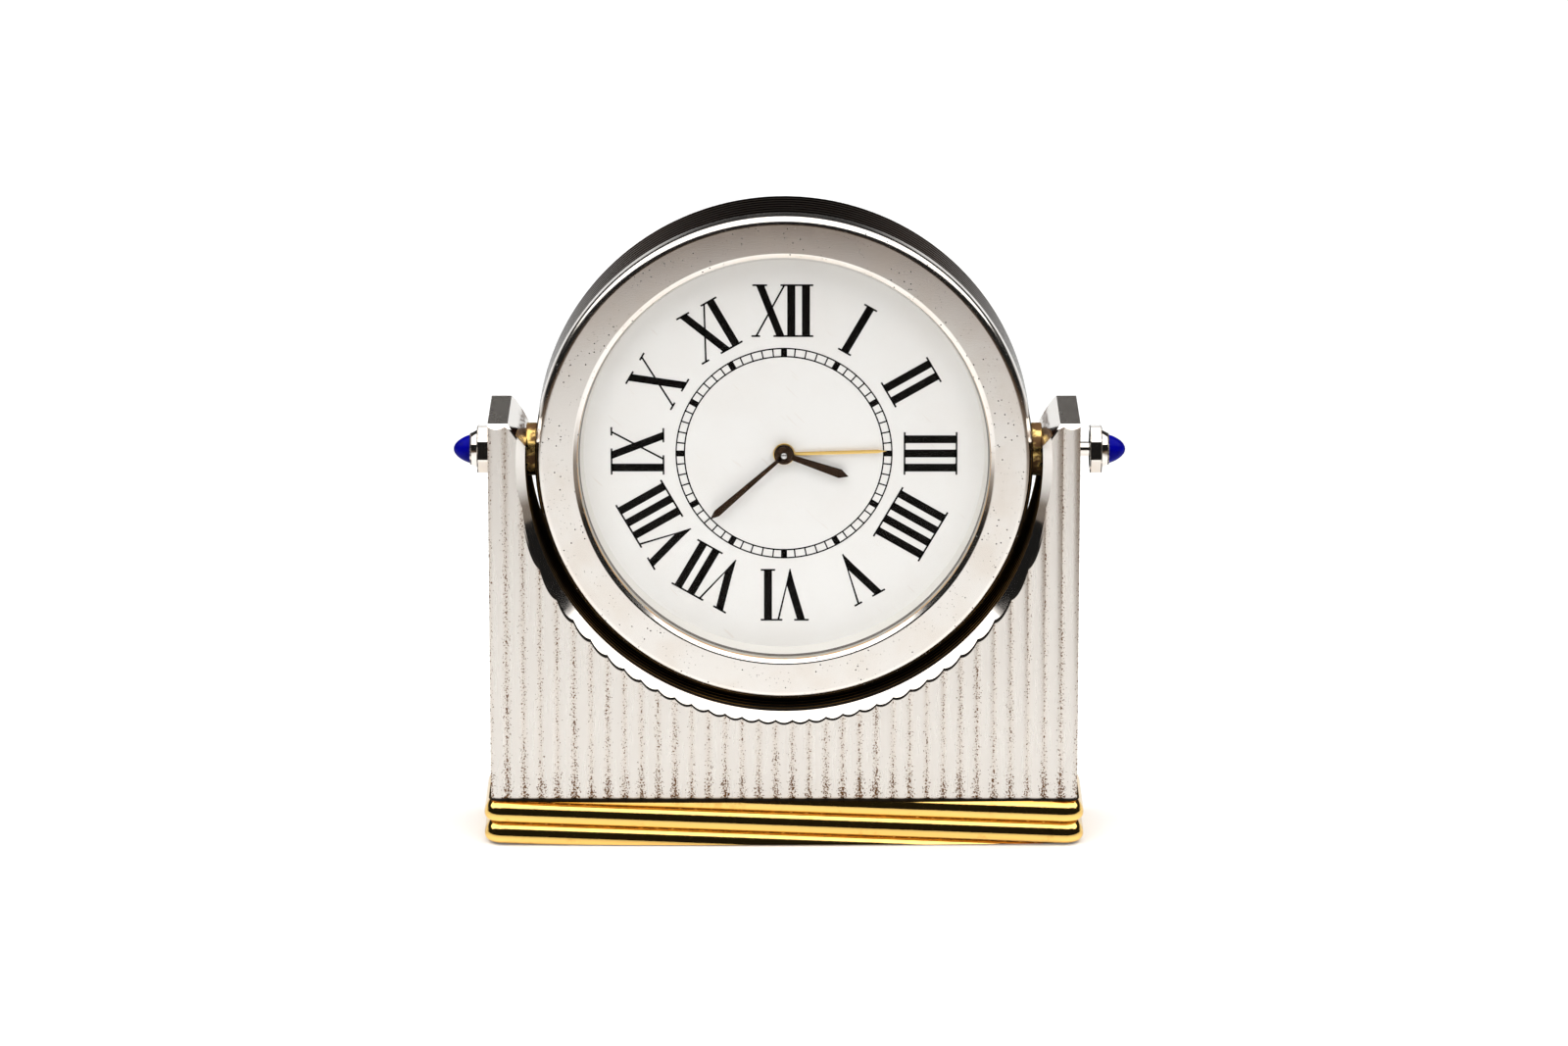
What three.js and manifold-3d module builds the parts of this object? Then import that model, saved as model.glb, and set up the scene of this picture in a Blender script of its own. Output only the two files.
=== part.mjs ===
// A pivoting desk alarm clock: a round drum case hung on two clamp screws in a reeded cradle,
// which stands on a plinth with a wound roll moulding. Millimetres, +Z up. The dial faces -Y,
// and the origin is the middle of the underside.

import * as THREE from "three";
import { mergeVertices } from "three/addons/utils/BufferGeometryUtils.js";
import Module from "manifold-3d";

const wasm = await Module();
wasm.setup();

// Plinth
const BASE_STEP = 1.1; // how far each end stands out past the cradle
const BASE_DEPTH = 21;
const BASE_TOP = 6.9; // height of the plinth's top above the table
const BASE_CORNER = 3; // plan radius of its corners, over the rolls
const ROLL_PITCH = 3.3; // height of one roll of the moulding
const ROLL_BULGE = 1.2; // how far a roll stands out of the grooves
const FELT_THICKNESS = 1;
const FELT_PROUD = 0.2; // how far the felt stands out under the plinth
const FELT_MARGIN = 3.5; // from the plinth's outline to the felt's edge

// Cradle
const UPRIGHT_WALL = 5.55; // thickness of an upright at the pivot axis
const CRADLE_DEPTH = 19.2; // over the crests of the reeds
const REED_COUNT = 35;
const REED_DEPTH = 0.35; // from crest to groove
const CRADLE_FLOOR = 13.8; // thickness of the cradle under the drum
const UPRIGHT_ABOVE_PIVOT = 6.1;
const CRADLE_GAP = 1.4; // between the drum and the cradle's round cut
const CUT_CHAMFER = 1.4; // polished chamfer along the round cut
const TOP_SLOPE_WIDTH = 3; // slope on the inner top corner of each upright
const TOP_SLOPE_DROP = 4.2;
const CRADLE_SCREW_SPACING = 50;
const CRADLE_SCREW_RADIUS = 1.5;
const CRADLE_SCREW_GRIP = 8; // length of screw inside the cradle
const SCREW_HEAD_RADIUS = 2.9;
const SCREW_HEAD_HEIGHT = 1.8;

// Pivots
const SHANK_RADIUS = 1.1;
const SHANK_GRIP = 2.7; // length of shank inside the drum's wall
const KNOB_RADIUS = 3.5; // to the middle of a flat
const KNOB_SIDES = 8;
const KNOB_LENGTH = 1.85;
const CUP_RADIUS = 2.9; // of the cup where it leaves the knob
const CUP_LENGTH = 1.1;
const STONE_RADIUS = 2.15;
const STONE_LENGTH = 2.85;
const STONE_SINK = 0.35; // depth of the stone's seat in the cup
const STONE_FULLNESS = 1.25; // 2 is a round dome, 1 a parabola
const LEFT_BACKED_OUT = 0.05; // gap between the upright and the left knob
const RIGHT_BACKED_OUT = 1.7; // the right screw is part undone
const WASHER_RADIUS = 4;
const SEAT_ON_DRUM = 0.25; // depth of the flat that seats a washer on the drum
const SEAT_ON_UPRIGHT = 0.1;

// Drum
const DRUM_RADIUS = 37.5;
const DRUM_DEPTH = 14.6; // the pivot axis is at half of this
const CASE_WALL = 2.9;
const RIB_COUNT = 7;
const RIB_DEPTH = 0.25;
const BEZEL_SIDE = 3.2; // length of the bezel's polished side
const BEZEL_EDGE = 0.7; // chamfer round the bezel's face
const BEZEL_FACE = 4.9; // width of the flat face
const BEZEL_BEVEL = 1.15; // width of the inner bevel, down to the crystal
const BEZEL_LIP = 0.85; // depth from the face to the crystal
const LIP_EDGE = 0.25; // thickness of the lip at its inner edge
const CRYSTAL_OVERLAP = 2.25; // how far the lip covers the crystal
const CRYSTAL_THICKNESS = 1.2;
const GASKET_WIDTH = 0.9;
const DIAL_RING_HEIGHT = 2.4; // from the crystal to the dial
const DIAL_RING_SLOPE = 0.8; // lean of its inner wall
const DIAL_RING_SHOW = 0.35; // width of the ring that shows inside the bezel's lip
const DIAL_THICKNESS = 0.5;
const DIAL_HOLE_RADIUS = 1.4;
const DIAL_FOOT_RADIUS = 0.5;
const DIAL_FOOT_SPACING = 24;
const DIAL_FOOT_DROP = 15; // feet below the dial's middle
const HOLDER_WIDTH = 5.1; // radial width of the movement's holder ring
const HOLDER_CLEARANCE = 0.3; // round the movement's corners, which the ring is notched for
const BACK_RECESS = 0.45; // back cover behind the drum's rear edge
const BACK_COVER_THICKNESS = 1.1;
const BACK_SCREW_COUNT = 3;
const BACK_SCREW_RADIUS = 0.55;
const BACK_SCREW_HEAD_RADIUS = 0.95;
const BACK_SCREW_INSET = 1.15; // from the back cover's edge
const BACK_SCREW_HEAD_HEIGHT = 0.4;
const BACK_SCREW_GRIP = 3;

// Movement
const MOVEMENT_WIDTH = 44;
const MOVEMENT_HEIGHT = 38;
const PLATE_THICKNESS = 1;
const HOUSING_WALL = 0.8;
const WHEEL_THICKNESS = 0.5;
const WHEEL_GAP = 0.25; // between one layer of wheels and the next
const MOTION_MODULE = 0.4;
const TRAIN_MODULE = 0.3;
const CANNON_TEETH = 10;
const MOTION_TEETH = 30;
const MOTION_PINION_TEETH = 8;
const HOUR_TEETH = 32;
const ALARM_TEETH = 32;
const ALARM_PINION_TEETH = 12;
const CENTRE_TEETH = 48;
const THIRD_PINION_TEETH = 8;
const THIRD_TEETH = 40;
const ROTOR_PINION_TEETH = 8;
const TOOTH_ADDENDUM = 0.85; // in modules
const TOOTH_DEDENDUM = 1.15;
const MINUTE_ARBOR_RADIUS = 0.4;
const TUBE_WALL = 0.3; // of the hour and alarm tubes
const WHEEL_ARBOR_RADIUS = 0.35;
const STEM_RADIUS = 0.7;
const MAGNET_RADIUS = 2.2;
const MAGNET_LENGTH = 1.5;
const STATOR_THICKNESS = 0.8;
const STATOR_BAR = 0.8; // height of the bar that carries the coil
const STATOR_LEG = 1.8;
const STATOR_REACH = 11.3; // from the rotor to the far leg's outer side
const STATOR_NEAR = 3.9; // from the rotor to the near leg's outer side
const STATOR_CHEEK = 3.8; // metal above and below the rotor's middle
const STATOR_RISE = 7.6; // from the rotor to the top of the bar
const COIL_RADIUS = 1.4;
const BOARD_THICKNESS = 1;
const BOARD_WIDTH = 18;
const BOARD_HEIGHT = 10;
const BUZZER_RADIUS = 7.5;
const BUZZER_THICKNESS = 0.6;
const BUZZER_ACROSS = 12; // buzzer's place, right of and below the dial's middle
const BUZZER_DOWN = 10.5;
const SOUND_HOLE_RADIUS = 0.6;
const SOUND_HOLE_RING = 3.5;
const SOUND_HOLE_COUNT = 6;
const CELL_RADIUS = 5.8;
const CELL_LENGTH = 5.4;
const CELL_ACROSS = 12; // cell's place, right of and above the dial's middle
const CELL_UP = 12;
const CONTACT_THICKNESS = 0.25;
const CONTACT_WIDTH = 6;
const HATCH_RADIUS = 6.5;
const HATCH_BOSS_RADIUS = 5;
const HATCH_SLOT_DEPTH = 0.5;
const SLIDE_DROP = 14; // alarm slide below the dial's middle
const SLIDE_TRAVEL = 3;
const SLIDE_TONGUE_WIDTH = 1.6;
const SLIDE_TONGUE_HEIGHT = 1.2;
const SLIDE_TONGUE_DEPTH = 1.9; // reach inside the back cover
const SLIDE_PLATE_WIDTH = 8.5;
const SLIDE_PLATE_HEIGHT = 3;
const SLIDE_PLATE_THICKNESS = 0.4;
const SLIDE_NUB_WIDTH = 2;
const SLIDE_NUB_HEIGHT = 1;
const SETTER_RADIUS = 3;
const SETTER_LENGTH = 2.8;
const SETTER_FLUTES = 14;
const SETTER_FLUTE_DEPTH = 0.25;

// Hands, at the time on the dial
const MINUTE_HAND_LENGTH = 14.9;
const MINUTE_HAND_WIDTH = 1.1;
const MINUTE_HAND_NECK = 0.5;
const HOUR_HAND_LENGTH = 10.3;
const HOUR_HAND_WIDTH = 1.4;
const HOUR_HAND_NECK = 0.7;
const ALARM_HAND_LENGTH = 15.5;
const ALARM_HAND_WIDTH = 0.5;
const ALARM_HAND_NECK = 0.5;
const HAND_POINT = 1.35; // length of a hand's tapered end
const HAND_THICKNESS = 0.25;
const HAND_GAP = 0.25; // between the dial and each hand in turn
const HUB_RADIUS = 1.35; // of the minute hand, each one below is wider
const HUB_STEP = 0.15;
const PIN_RISE = 0.2; // arbor's end in front of the minute hand
const MINUTE_HAND_ANGLE = 228.4; // degrees clockwise from twelve
const HOUR_HAND_ANGLE = 109.1;
const ALARM_HAND_ANGLE = 88.3;

// Clearances
const RUNNING_CLEARANCE = 0.08; // of a turning arbor or tube
const SEATING_CLEARANCE = 0.1; // of a piece that sits in a recess
const SCREW_CLEARANCE = 0.1;
const CUTTER_OVERRUN = 1; // how far a cutting tool runs past a face

// Facets
const DRUM_FACETS = 40;
const CUT_FACETS = 72;
const SMALL_FACETS = 12;
const KNOB_FACETS = 20;
const REED_STEPS = 4;
const ROLL_ROWS = 18;
const ROLL_FRONT_STEPS = 12;
const CORNER_STEPS = 3;
const DOME_STEPS = 4;
const MERGE_DISTANCE = 1e-5;

// Radii and depths that follow from the sizes above
const CUT_RADIUS = DRUM_RADIUS + CRADLE_GAP;
const CRADLE_WIDTH = 2 * (CUT_RADIUS + UPRIGHT_WALL);
const BASE_WIDTH = CRADLE_WIDTH + 2 * BASE_STEP;
const PIVOT_HEIGHT = BASE_TOP + CRADLE_FLOOR + CUT_RADIUS; // pivot axis above the table
const CASE_BORE = DRUM_RADIUS - CASE_WALL;
const UPRIGHT_TOP = PIVOT_HEIGHT + UPRIGHT_ABOVE_PIVOT;
const UPRIGHT_SEAT = CUT_RADIUS + SEAT_ON_UPRIGHT;
const DRUM_SEAT = DRUM_RADIUS - SEAT_ON_DRUM;
const FACE_INNER = DRUM_RADIUS - BEZEL_EDGE - BEZEL_FACE;
const LIP_RADIUS = FACE_INNER - BEZEL_BEVEL;
const DIAL_SIGHT_RADIUS = LIP_RADIUS - DIAL_RING_SHOW; // visible radius of the dial
const CRYSTAL_RADIUS = LIP_RADIUS + CRYSTAL_OVERLAP;
const GASKET_INNER = CRYSTAL_RADIUS + SEATING_CLEARANCE;
const GASKET_OUTER = GASKET_INNER + GASKET_WIDTH;
const BEZEL_BORE = GASKET_OUTER + SEATING_CLEARANCE;
const HOLDER_OUTER = CASE_BORE - SEATING_CLEARANCE;
const HOLDER_INNER = HOLDER_OUTER - HOLDER_WIDTH;
const DIAL_RADIUS = Math.min(BEZEL_BORE, CASE_BORE) - SEATING_CLEARANCE;

const BEZEL_FRONT = -DRUM_DEPTH / 2;
const DRUM_BACK = DRUM_DEPTH / 2;
const BEZEL_BACK = BEZEL_FRONT + BEZEL_SIDE;
const CRYSTAL_FRONT = BEZEL_FRONT + BEZEL_LIP;
const CRYSTAL_BACK = CRYSTAL_FRONT + CRYSTAL_THICKNESS;
const DIAL_FACE = CRYSTAL_BACK + DIAL_RING_HEIGHT;
const DIAL_BACK = DIAL_FACE + DIAL_THICKNESS;
const PLATE_BACK = DIAL_BACK + PLATE_THICKNESS;
const COVER_BACK = DRUM_BACK - BACK_RECESS;
const COVER_FRONT = COVER_BACK - BACK_COVER_THICKNESS;
const HOUSING_INNER = COVER_FRONT - HOUSING_WALL;

// Wheel layers, from the plate towards the back, each as its front depth
const LAYER = WHEEL_THICKNESS + WHEEL_GAP;
const ALARM_LAYER = PLATE_BACK + WHEEL_GAP;
const HOUR_LAYER = ALARM_LAYER + LAYER;
const MOTION_LAYER = HOUR_LAYER + LAYER;
const CENTRE_LAYER = MOTION_LAYER + LAYER;
const THIRD_LAYER = CENTRE_LAYER + LAYER;
const MAGNET_LAYER = THIRD_LAYER + LAYER;
const STATOR_LAYER = MAGNET_LAYER + (MAGNET_LENGTH - STATOR_THICKNESS) / 2;
const PLATE_PIVOT = PLATE_BACK - PLATE_THICKNESS / 2; // front end of the arbors
const HOUSING_PIVOT = HOUSING_INNER + HOUSING_WALL / 2; // rear end of the arbors

// Hand layers, each as its rear depth
const ALARM_HAND_BACK = DIAL_FACE - HAND_GAP;
const HOUR_HAND_BACK = ALARM_HAND_BACK - HAND_THICKNESS - HAND_GAP;
const MINUTE_HAND_BACK = HOUR_HAND_BACK - HAND_THICKNESS - HAND_GAP;

// Coaxial tubes, from the minute arbor outwards
const HOUR_TUBE_BORE = MINUTE_ARBOR_RADIUS + RUNNING_CLEARANCE;
const HOUR_TUBE_RADIUS = HOUR_TUBE_BORE + TUBE_WALL;
const ALARM_TUBE_BORE = HOUR_TUBE_RADIUS + RUNNING_CLEARANCE;
const ALARM_TUBE_RADIUS = ALARM_TUBE_BORE + TUBE_WALL;

// Wheel centres across the movement, as [right, up] from the dial's middle
const spread = (module, teethA, teethB) => (module * (teethA + teethB)) / 2;
const MOTION_AT = [spread(MOTION_MODULE, CANNON_TEETH, MOTION_TEETH), 0];
const TIME_STEM_AT = [2 * MOTION_AT[0], 0];
const ALARM_STEM_AT = [-spread(MOTION_MODULE, ALARM_TEETH, ALARM_PINION_TEETH), 0];
const THIRD_AT = [0, spread(TRAIN_MODULE, CENTRE_TEETH, THIRD_PINION_TEETH)];
const ROTOR_AT = [-spread(TRAIN_MODULE, THIRD_TEETH, ROTOR_PINION_TEETH), THIRD_AT[1]];
const CELL_AT = [CELL_ACROSS, CELL_UP];
const BUZZER_AT = [BUZZER_ACROSS, -BUZZER_DOWN];
const SLIDE_AT = [0, -SLIDE_DROP];

// Closed solids from three.js geometry

function solid(geometry) {
  const bare = new THREE.BufferGeometry();
  bare.setAttribute("position", geometry.getAttribute("position"));
  bare.setIndex(geometry.getIndex());
  const merged = mergeVertices(bare, MERGE_DISTANCE);
  const points = merged.getAttribute("position");
  const index = merged.getIndex().array;
  const triangles = [];
  let volume = 0;
  const [a, b, c] = [new THREE.Vector3(), new THREE.Vector3(), new THREE.Vector3()];
  for (let i = 0; i < index.length; i += 3) {
    const corners = [index[i], index[i + 1], index[i + 2]];
    if (new Set(corners).size < 3) continue;
    triangles.push(corners);
    [a, b, c].forEach((corner, k) => corner.fromBufferAttribute(points, corners[k]));
    volume += a.dot(b.clone().cross(c));
  }
  if (volume < 0) triangles.forEach((corners) => corners.reverse());
  return new wasm.Manifold(new wasm.Mesh({
    numProp: 3,
    vertProperties: new Float32Array(points.array),
    triVerts: new Uint32Array(triangles.flat()),
  }));
}

function join(first, ...others) {
  return others.reduce((whole, other) => whole.add(other), first);
}

function cut(body, ...tools) {
  return tools.reduce((rest, tool) => rest.subtract(tool), body);
}

// Primitive solids. A profile is a list of [radius, depth] points turned about the Y axis

function turnedGeometry(profile, facets = DRUM_FACETS) {
  return new THREE.LatheGeometry(profile.map(([r, y]) => new THREE.Vector2(r, y)), facets);
}

function turned(profile, facets) {
  return solid(turnedGeometry(profile, facets));
}

function turnedRing(profile, facets) {
  return turned([...profile, profile[0]], facets);
}

function tube(inner, outer, front, back, facets) {
  return turnedRing([[inner, front], [outer, front], [outer, back], [inner, back]], facets);
}

function rod(radius, front, back, [x, z] = [0, 0], facets = SMALL_FACETS) {
  const geometry = new THREE.CylinderGeometry(radius, radius, back - front, facets);
  return solid(geometry.translate(x, (front + back) / 2, z));
}

function crossRod(radius, left, right, facets = SMALL_FACETS) {
  const geometry = new THREE.CylinderGeometry(radius, radius, right - left, facets);
  return solid(geometry.rotateZ(Math.PI / 2).translate((left + right) / 2, 0, 0));
}

function uprightRod(radius, bottom, top, x, facets = SMALL_FACETS) {
  const geometry = new THREE.CylinderGeometry(radius, radius, top - bottom, facets);
  return solid(geometry.rotateX(Math.PI / 2).translate(x, 0, (bottom + top) / 2));
}

function block([x0, x1], [y0, y1], [z0, z1]) {
  const geometry = new THREE.BoxGeometry(x1 - x0, y1 - y0, z1 - z0);
  return solid(geometry.translate((x0 + x1) / 2, (y0 + y1) / 2, (z0 + z1) / 2));
}

function about(middle, size) {
  return [middle - size / 2, middle + size / 2];
}

// A plate cut to an outline across [right, up], from one depth to another
function plate(shape, front, back, [x, z] = [0, 0]) {
  const geometry = new THREE.ExtrudeGeometry(shape, { depth: back - front, bevelEnabled: false });
  return solid(geometry.rotateX(Math.PI / 2).translate(x, back, z));
}

function outline(points) {
  return new THREE.Shape(points.map(([x, y]) => new THREE.Vector2(x, y)));
}

// A toothed wheel with straight flanks, and a tooth on the given direction
function gear(teeth, module, toothAngle, layer, at = [0, 0]) {
  const pitchRadius = (module * teeth) / 2;
  const tip = pitchRadius + TOOTH_ADDENDUM * module;
  const root = pitchRadius - TOOTH_DEDENDUM * module;
  const step = (2 * Math.PI) / teeth;
  const flank = [[root, -0.3], [tip, -0.11], [tip, 0.11], [root, 0.3]]; // in parts of a step
  const points = [];
  for (let tooth = 0; tooth < teeth; tooth += 1) {
    for (const [radius, share] of flank) {
      const angle = toothAngle + (tooth + share) * step;
      points.push([radius * Math.cos(angle), radius * Math.sin(angle)]);
    }
  }
  return plate(outline(points), layer, layer + WHEEL_THICKNESS, at);
}

// A gear's phase that puts a gap, not a tooth, on the given direction
const gapOn = (direction, teeth) => direction + Math.PI / teeth;

// Meshes

const finish = (color, roughness, metalness) =>
  new THREE.MeshStandardMaterial({ color, roughness, metalness });

const SILVER = finish(0xe6e3dd, 0.16, 1);
const GOLD = finish(0xf2c55a, 0.14, 1);
const BRASS = finish(0xc9a24a, 0.35, 1);
const STEEL = finish(0xb9bcc0, 0.3, 1);
const BRONZE = finish(0x3a2c22, 0.35, 0.8);
const BLUE_STONE = finish(0x1414c8, 0.12, 0);
const GLASS = finish(0xf4f6f6, 0.03, 0);
const DIAL_WHITE = finish(0xf3f2ee, 0.45, 0);
const BLACK_RUBBER = finish(0x18181a, 0.85, 0);
const FELT = finish(0x23302a, 0.95, 0);
const WHITE_PLASTIC = finish(0xe8e6df, 0.5, 0);
const BLACK_PLASTIC = finish(0x1c1c1e, 0.45, 0);
const COPPER = finish(0xb4632f, 0.4, 1);
const BOARD_GREEN = finish(0x1d5b3a, 0.55, 0);

const clock = new THREE.Group();
const drum = new THREE.Group();
drum.position.z = PIVOT_HEIGHT;
clock.add(drum);

function addPiece(group, name, body, material) {
  const { vertProperties, triVerts, numProp } = body.getMesh();
  const geometry = new THREE.BufferGeometry();
  const positions = new Float32Array((vertProperties.length / numProp) * 3);
  for (let i = 0; i < positions.length / 3; i += 1) {
    for (let k = 0; k < 3; k += 1) positions[3 * i + k] = vertProperties[numProp * i + k];
  }
  geometry.setAttribute("position", new THREE.BufferAttribute(positions, 3));
  geometry.setIndex(new THREE.BufferAttribute(new Uint32Array(triVerts), 1));
  geometry.computeVertexNormals();
  const mesh = new THREE.Mesh(geometry, material);
  mesh.name = name;
  group.add(mesh);
  return mesh;
}

// Plinth: one roll winds round it, level on the ends and the back, and drops by its own
// height across the front

function plinthStations() {
  const halfWidth = BASE_WIDTH / 2 - BASE_CORNER;
  const halfDepth = BASE_DEPTH / 2 - BASE_CORNER;
  const corners = [[-1, -1, Math.PI], [1, -1, 1.5 * Math.PI], [1, 1, 0], [-1, 1, 0.5 * Math.PI]];
  const stations = [];
  corners.forEach(([sideX, sideY, start], corner) => {
    const drop = corner === 0 ? 0 : ROLL_PITCH;
    for (let i = 0; i <= CORNER_STEPS; i += 1) {
      const angle = start + (i / CORNER_STEPS) * (Math.PI / 2);
      stations.push({ x: sideX * halfWidth, y: sideY * halfDepth, angle, drop });
    }
    if (corner > 0) return;
    for (let i = 1; i < ROLL_FRONT_STEPS; i += 1) {
      const share = i / ROLL_FRONT_STEPS;
      stations.push({
        x: halfWidth * (2 * share - 1),
        y: -halfDepth,
        angle: 1.5 * Math.PI,
        drop: share * ROLL_PITCH,
      });
    }
  });
  return stations;
}

function rollBulge(height) {
  const share = THREE.MathUtils.euclideanModulo(height, ROLL_PITCH) / ROLL_PITCH;
  return ROLL_BULGE * Math.sqrt(1 - (2 * share - 1) ** 2);
}

function plinthBlank() {
  const stations = plinthStations();
  const count = stations.length;
  const positions = [];
  const index = [];
  for (let row = 0; row <= ROLL_ROWS; row += 1) {
    const z = FELT_PROUD + ((BASE_TOP - FELT_PROUD) * row) / ROLL_ROWS;
    for (const { x, y, angle, drop } of stations) {
      const reach = BASE_CORNER - ROLL_BULGE + rollBulge(z - FELT_PROUD + drop);
      positions.push(x + reach * Math.cos(angle), y + reach * Math.sin(angle), z);
    }
  }
  positions.push(0, 0, FELT_PROUD, 0, 0, BASE_TOP);
  const bottomMiddle = count * (ROLL_ROWS + 1);
  for (let i = 0; i < count; i += 1) {
    const next = (i + 1) % count;
    for (let row = 0; row < ROLL_ROWS; row += 1) {
      const low = row * count;
      const high = low + count;
      index.push(low + i, low + next, high + next, low + i, high + next, high + i);
    }
    const top = ROLL_ROWS * count;
    index.push(bottomMiddle, next, i, bottomMiddle + 1, top + i, top + next);
  }
  const geometry = new THREE.BufferGeometry();
  geometry.setAttribute("position", new THREE.BufferAttribute(new Float32Array(positions), 3));
  geometry.setIndex(index);
  return solid(geometry);
}

const FELT_TOP = FELT_THICKNESS;
const FELT_POCKET_TOP = FELT_TOP + SEATING_CLEARANCE;
const feltWidth = BASE_WIDTH - 2 * FELT_MARGIN;
const feltDepth = BASE_DEPTH - 2 * FELT_MARGIN;
const headTop = FELT_POCKET_TOP + SCREW_HEAD_HEIGHT + SEATING_CLEARANCE;

function addBase() {
  const pocket = block(
    about(0, feltWidth + 2 * SEATING_CLEARANCE),
    about(0, feltDepth + 2 * SEATING_CLEARANCE),
    [FELT_PROUD - CUTTER_OVERRUN, FELT_POCKET_TOP],
  );
  let plinth = cut(plinthBlank(), pocket);
  for (const side of [-1, 1]) {
    const x = (side * CRADLE_SCREW_SPACING) / 2;
    plinth = cut(
      plinth,
      uprightRod(CRADLE_SCREW_RADIUS + SCREW_CLEARANCE, 0, BASE_TOP + CUTTER_OVERRUN, x),
      uprightRod(SCREW_HEAD_RADIUS + SCREW_CLEARANCE, 0, headTop, x),
    );
  }
  addPiece(clock, "base_plinth", plinth, GOLD);
  addPiece(clock, "base_felt", block(about(0, feltWidth), about(0, feltDepth), [0, FELT_TOP]), FELT);
}

function addCradleScrews() {
  const headBottom = headTop - SCREW_HEAD_HEIGHT;
  const tip = BASE_TOP + CRADLE_SCREW_GRIP;
  for (const [side, name] of [[-1, "cradle_screw_left"], [1, "cradle_screw_right"]]) {
    const x = (side * CRADLE_SCREW_SPACING) / 2;
    const screw = join(
      uprightRod(SCREW_HEAD_RADIUS, headBottom, headTop, x),
      uprightRod(CRADLE_SCREW_RADIUS, headBottom, tip, x),
    );
    const slot = block(
      about(x, 2 * SCREW_HEAD_RADIUS + CUTTER_OVERRUN),
      about(0, SCREW_HEAD_HEIGHT / 2),
      [headBottom - CUTTER_OVERRUN, headBottom + SCREW_HEAD_HEIGHT / 2],
    );
    addPiece(clock, name, cut(screw, slot), STEEL);
  }
}

// Cradle: a reeded block with a round cut for the drum

function reededPlan() {
  const pitch = CRADLE_WIDTH / REED_COUNT;
  const groove = CRADLE_DEPTH / 2 - REED_DEPTH;
  const front = [];
  for (let reed = 0; reed < REED_COUNT; reed += 1) {
    for (let i = reed === 0 ? 0 : 1; i <= REED_STEPS; i += 1) {
      const share = i / REED_STEPS;
      const x = -CRADLE_WIDTH / 2 + pitch * (reed + share);
      front.push([x, -groove - REED_DEPTH * (1 - (2 * share - 1) ** 2)]);
    }
  }
  const back = front.map(([x, y]) => [-x, -y]);
  return outline([...front, ...back]);
}

function addCradle() {
  const blank = new THREE.ExtrudeGeometry(reededPlan(), {
    depth: UPRIGHT_TOP - BASE_TOP,
    bevelEnabled: false,
  });
  const crest = CRADLE_DEPTH / 2;
  const wide = CUT_RADIUS + CUT_CHAMFER + CUTTER_OVERRUN;
  const roundCut = turnedGeometry([
    [0, -crest - CUTTER_OVERRUN],
    [wide, -crest - CUTTER_OVERRUN],
    [CUT_RADIUS, -crest + CUT_CHAMFER],
    [CUT_RADIUS, crest - CUT_CHAMFER],
    [wide, crest + CUTTER_OVERRUN],
    [0, crest + CUTTER_OVERRUN],
  ], CUT_FACETS).translate(0, 0, PIVOT_HEIGHT);
  let cradle = cut(solid(blank.translate(0, 0, BASE_TOP)), solid(roundCut));
  const innerTop = Math.sqrt(CUT_RADIUS ** 2 - UPRIGHT_ABOVE_PIVOT ** 2);
  const steep = TOP_SLOPE_DROP / TOP_SLOPE_WIDTH;
  for (const side of [-1, 1]) {
    const slope = outline([
      [side * (innerTop + TOP_SLOPE_WIDTH + CUTTER_OVERRUN), UPRIGHT_TOP + CUTTER_OVERRUN * steep],
      [side * (innerTop - CUTTER_OVERRUN), UPRIGHT_TOP + CUTTER_OVERRUN * steep],
      [side * (innerTop - CUTTER_OVERRUN), UPRIGHT_TOP - TOP_SLOPE_DROP - CUTTER_OVERRUN * steep],
    ]);
    const x = (side * CRADLE_SCREW_SPACING) / 2;
    const screwTip = BASE_TOP + CRADLE_SCREW_GRIP + SCREW_CLEARANCE;
    const seat = new THREE.CylinderGeometry(
      WASHER_RADIUS + SEATING_CLEARANCE,
      WASHER_RADIUS + SEATING_CLEARANCE,
      UPRIGHT_SEAT,
      KNOB_FACETS,
    );
    seat.rotateZ(Math.PI / 2).translate((side * UPRIGHT_SEAT) / 2, 0, PIVOT_HEIGHT);
    cradle = cut(
      cradle,
      plate(slope, -crest - CUTTER_OVERRUN, crest + CUTTER_OVERRUN),
      uprightRod(CRADLE_SCREW_RADIUS + SCREW_CLEARANCE, BASE_TOP - CUTTER_OVERRUN, screwTip, x),
      solid(seat),
    );
  }
  const holeLength = CRADLE_WIDTH + 2 * CUTTER_OVERRUN;
  const holeRadius = SHANK_RADIUS + RUNNING_CLEARANCE;
  const hole = new THREE.CylinderGeometry(holeRadius, holeRadius, holeLength, SMALL_FACETS);
  hole.rotateZ(Math.PI / 2).translate(0, 0, PIVOT_HEIGHT);
  addPiece(clock, "cradle", cut(cradle, solid(hole)), SILVER);
}

// Pivots: each screw clamps its upright between a knob and a washer. They are turned about Y
// and swung to lie along X

function swung(profile, side, facets) {
  return solid(turnedGeometry(profile, facets).rotateZ(-side * Math.PI / 2));
}

function domeProfile(radius, base, length) {
  const profile = [];
  for (let i = 0; i <= DOME_STEPS; i += 1) {
    const turn = (i / DOME_STEPS) * (Math.PI / 2);
    const share = Math.sin(turn);
    profile.push([radius * Math.sqrt(1 - share ** STONE_FULLNESS), base + length * share]);
  }
  profile[DOME_STEPS][0] = 0;
  return profile;
}

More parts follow.
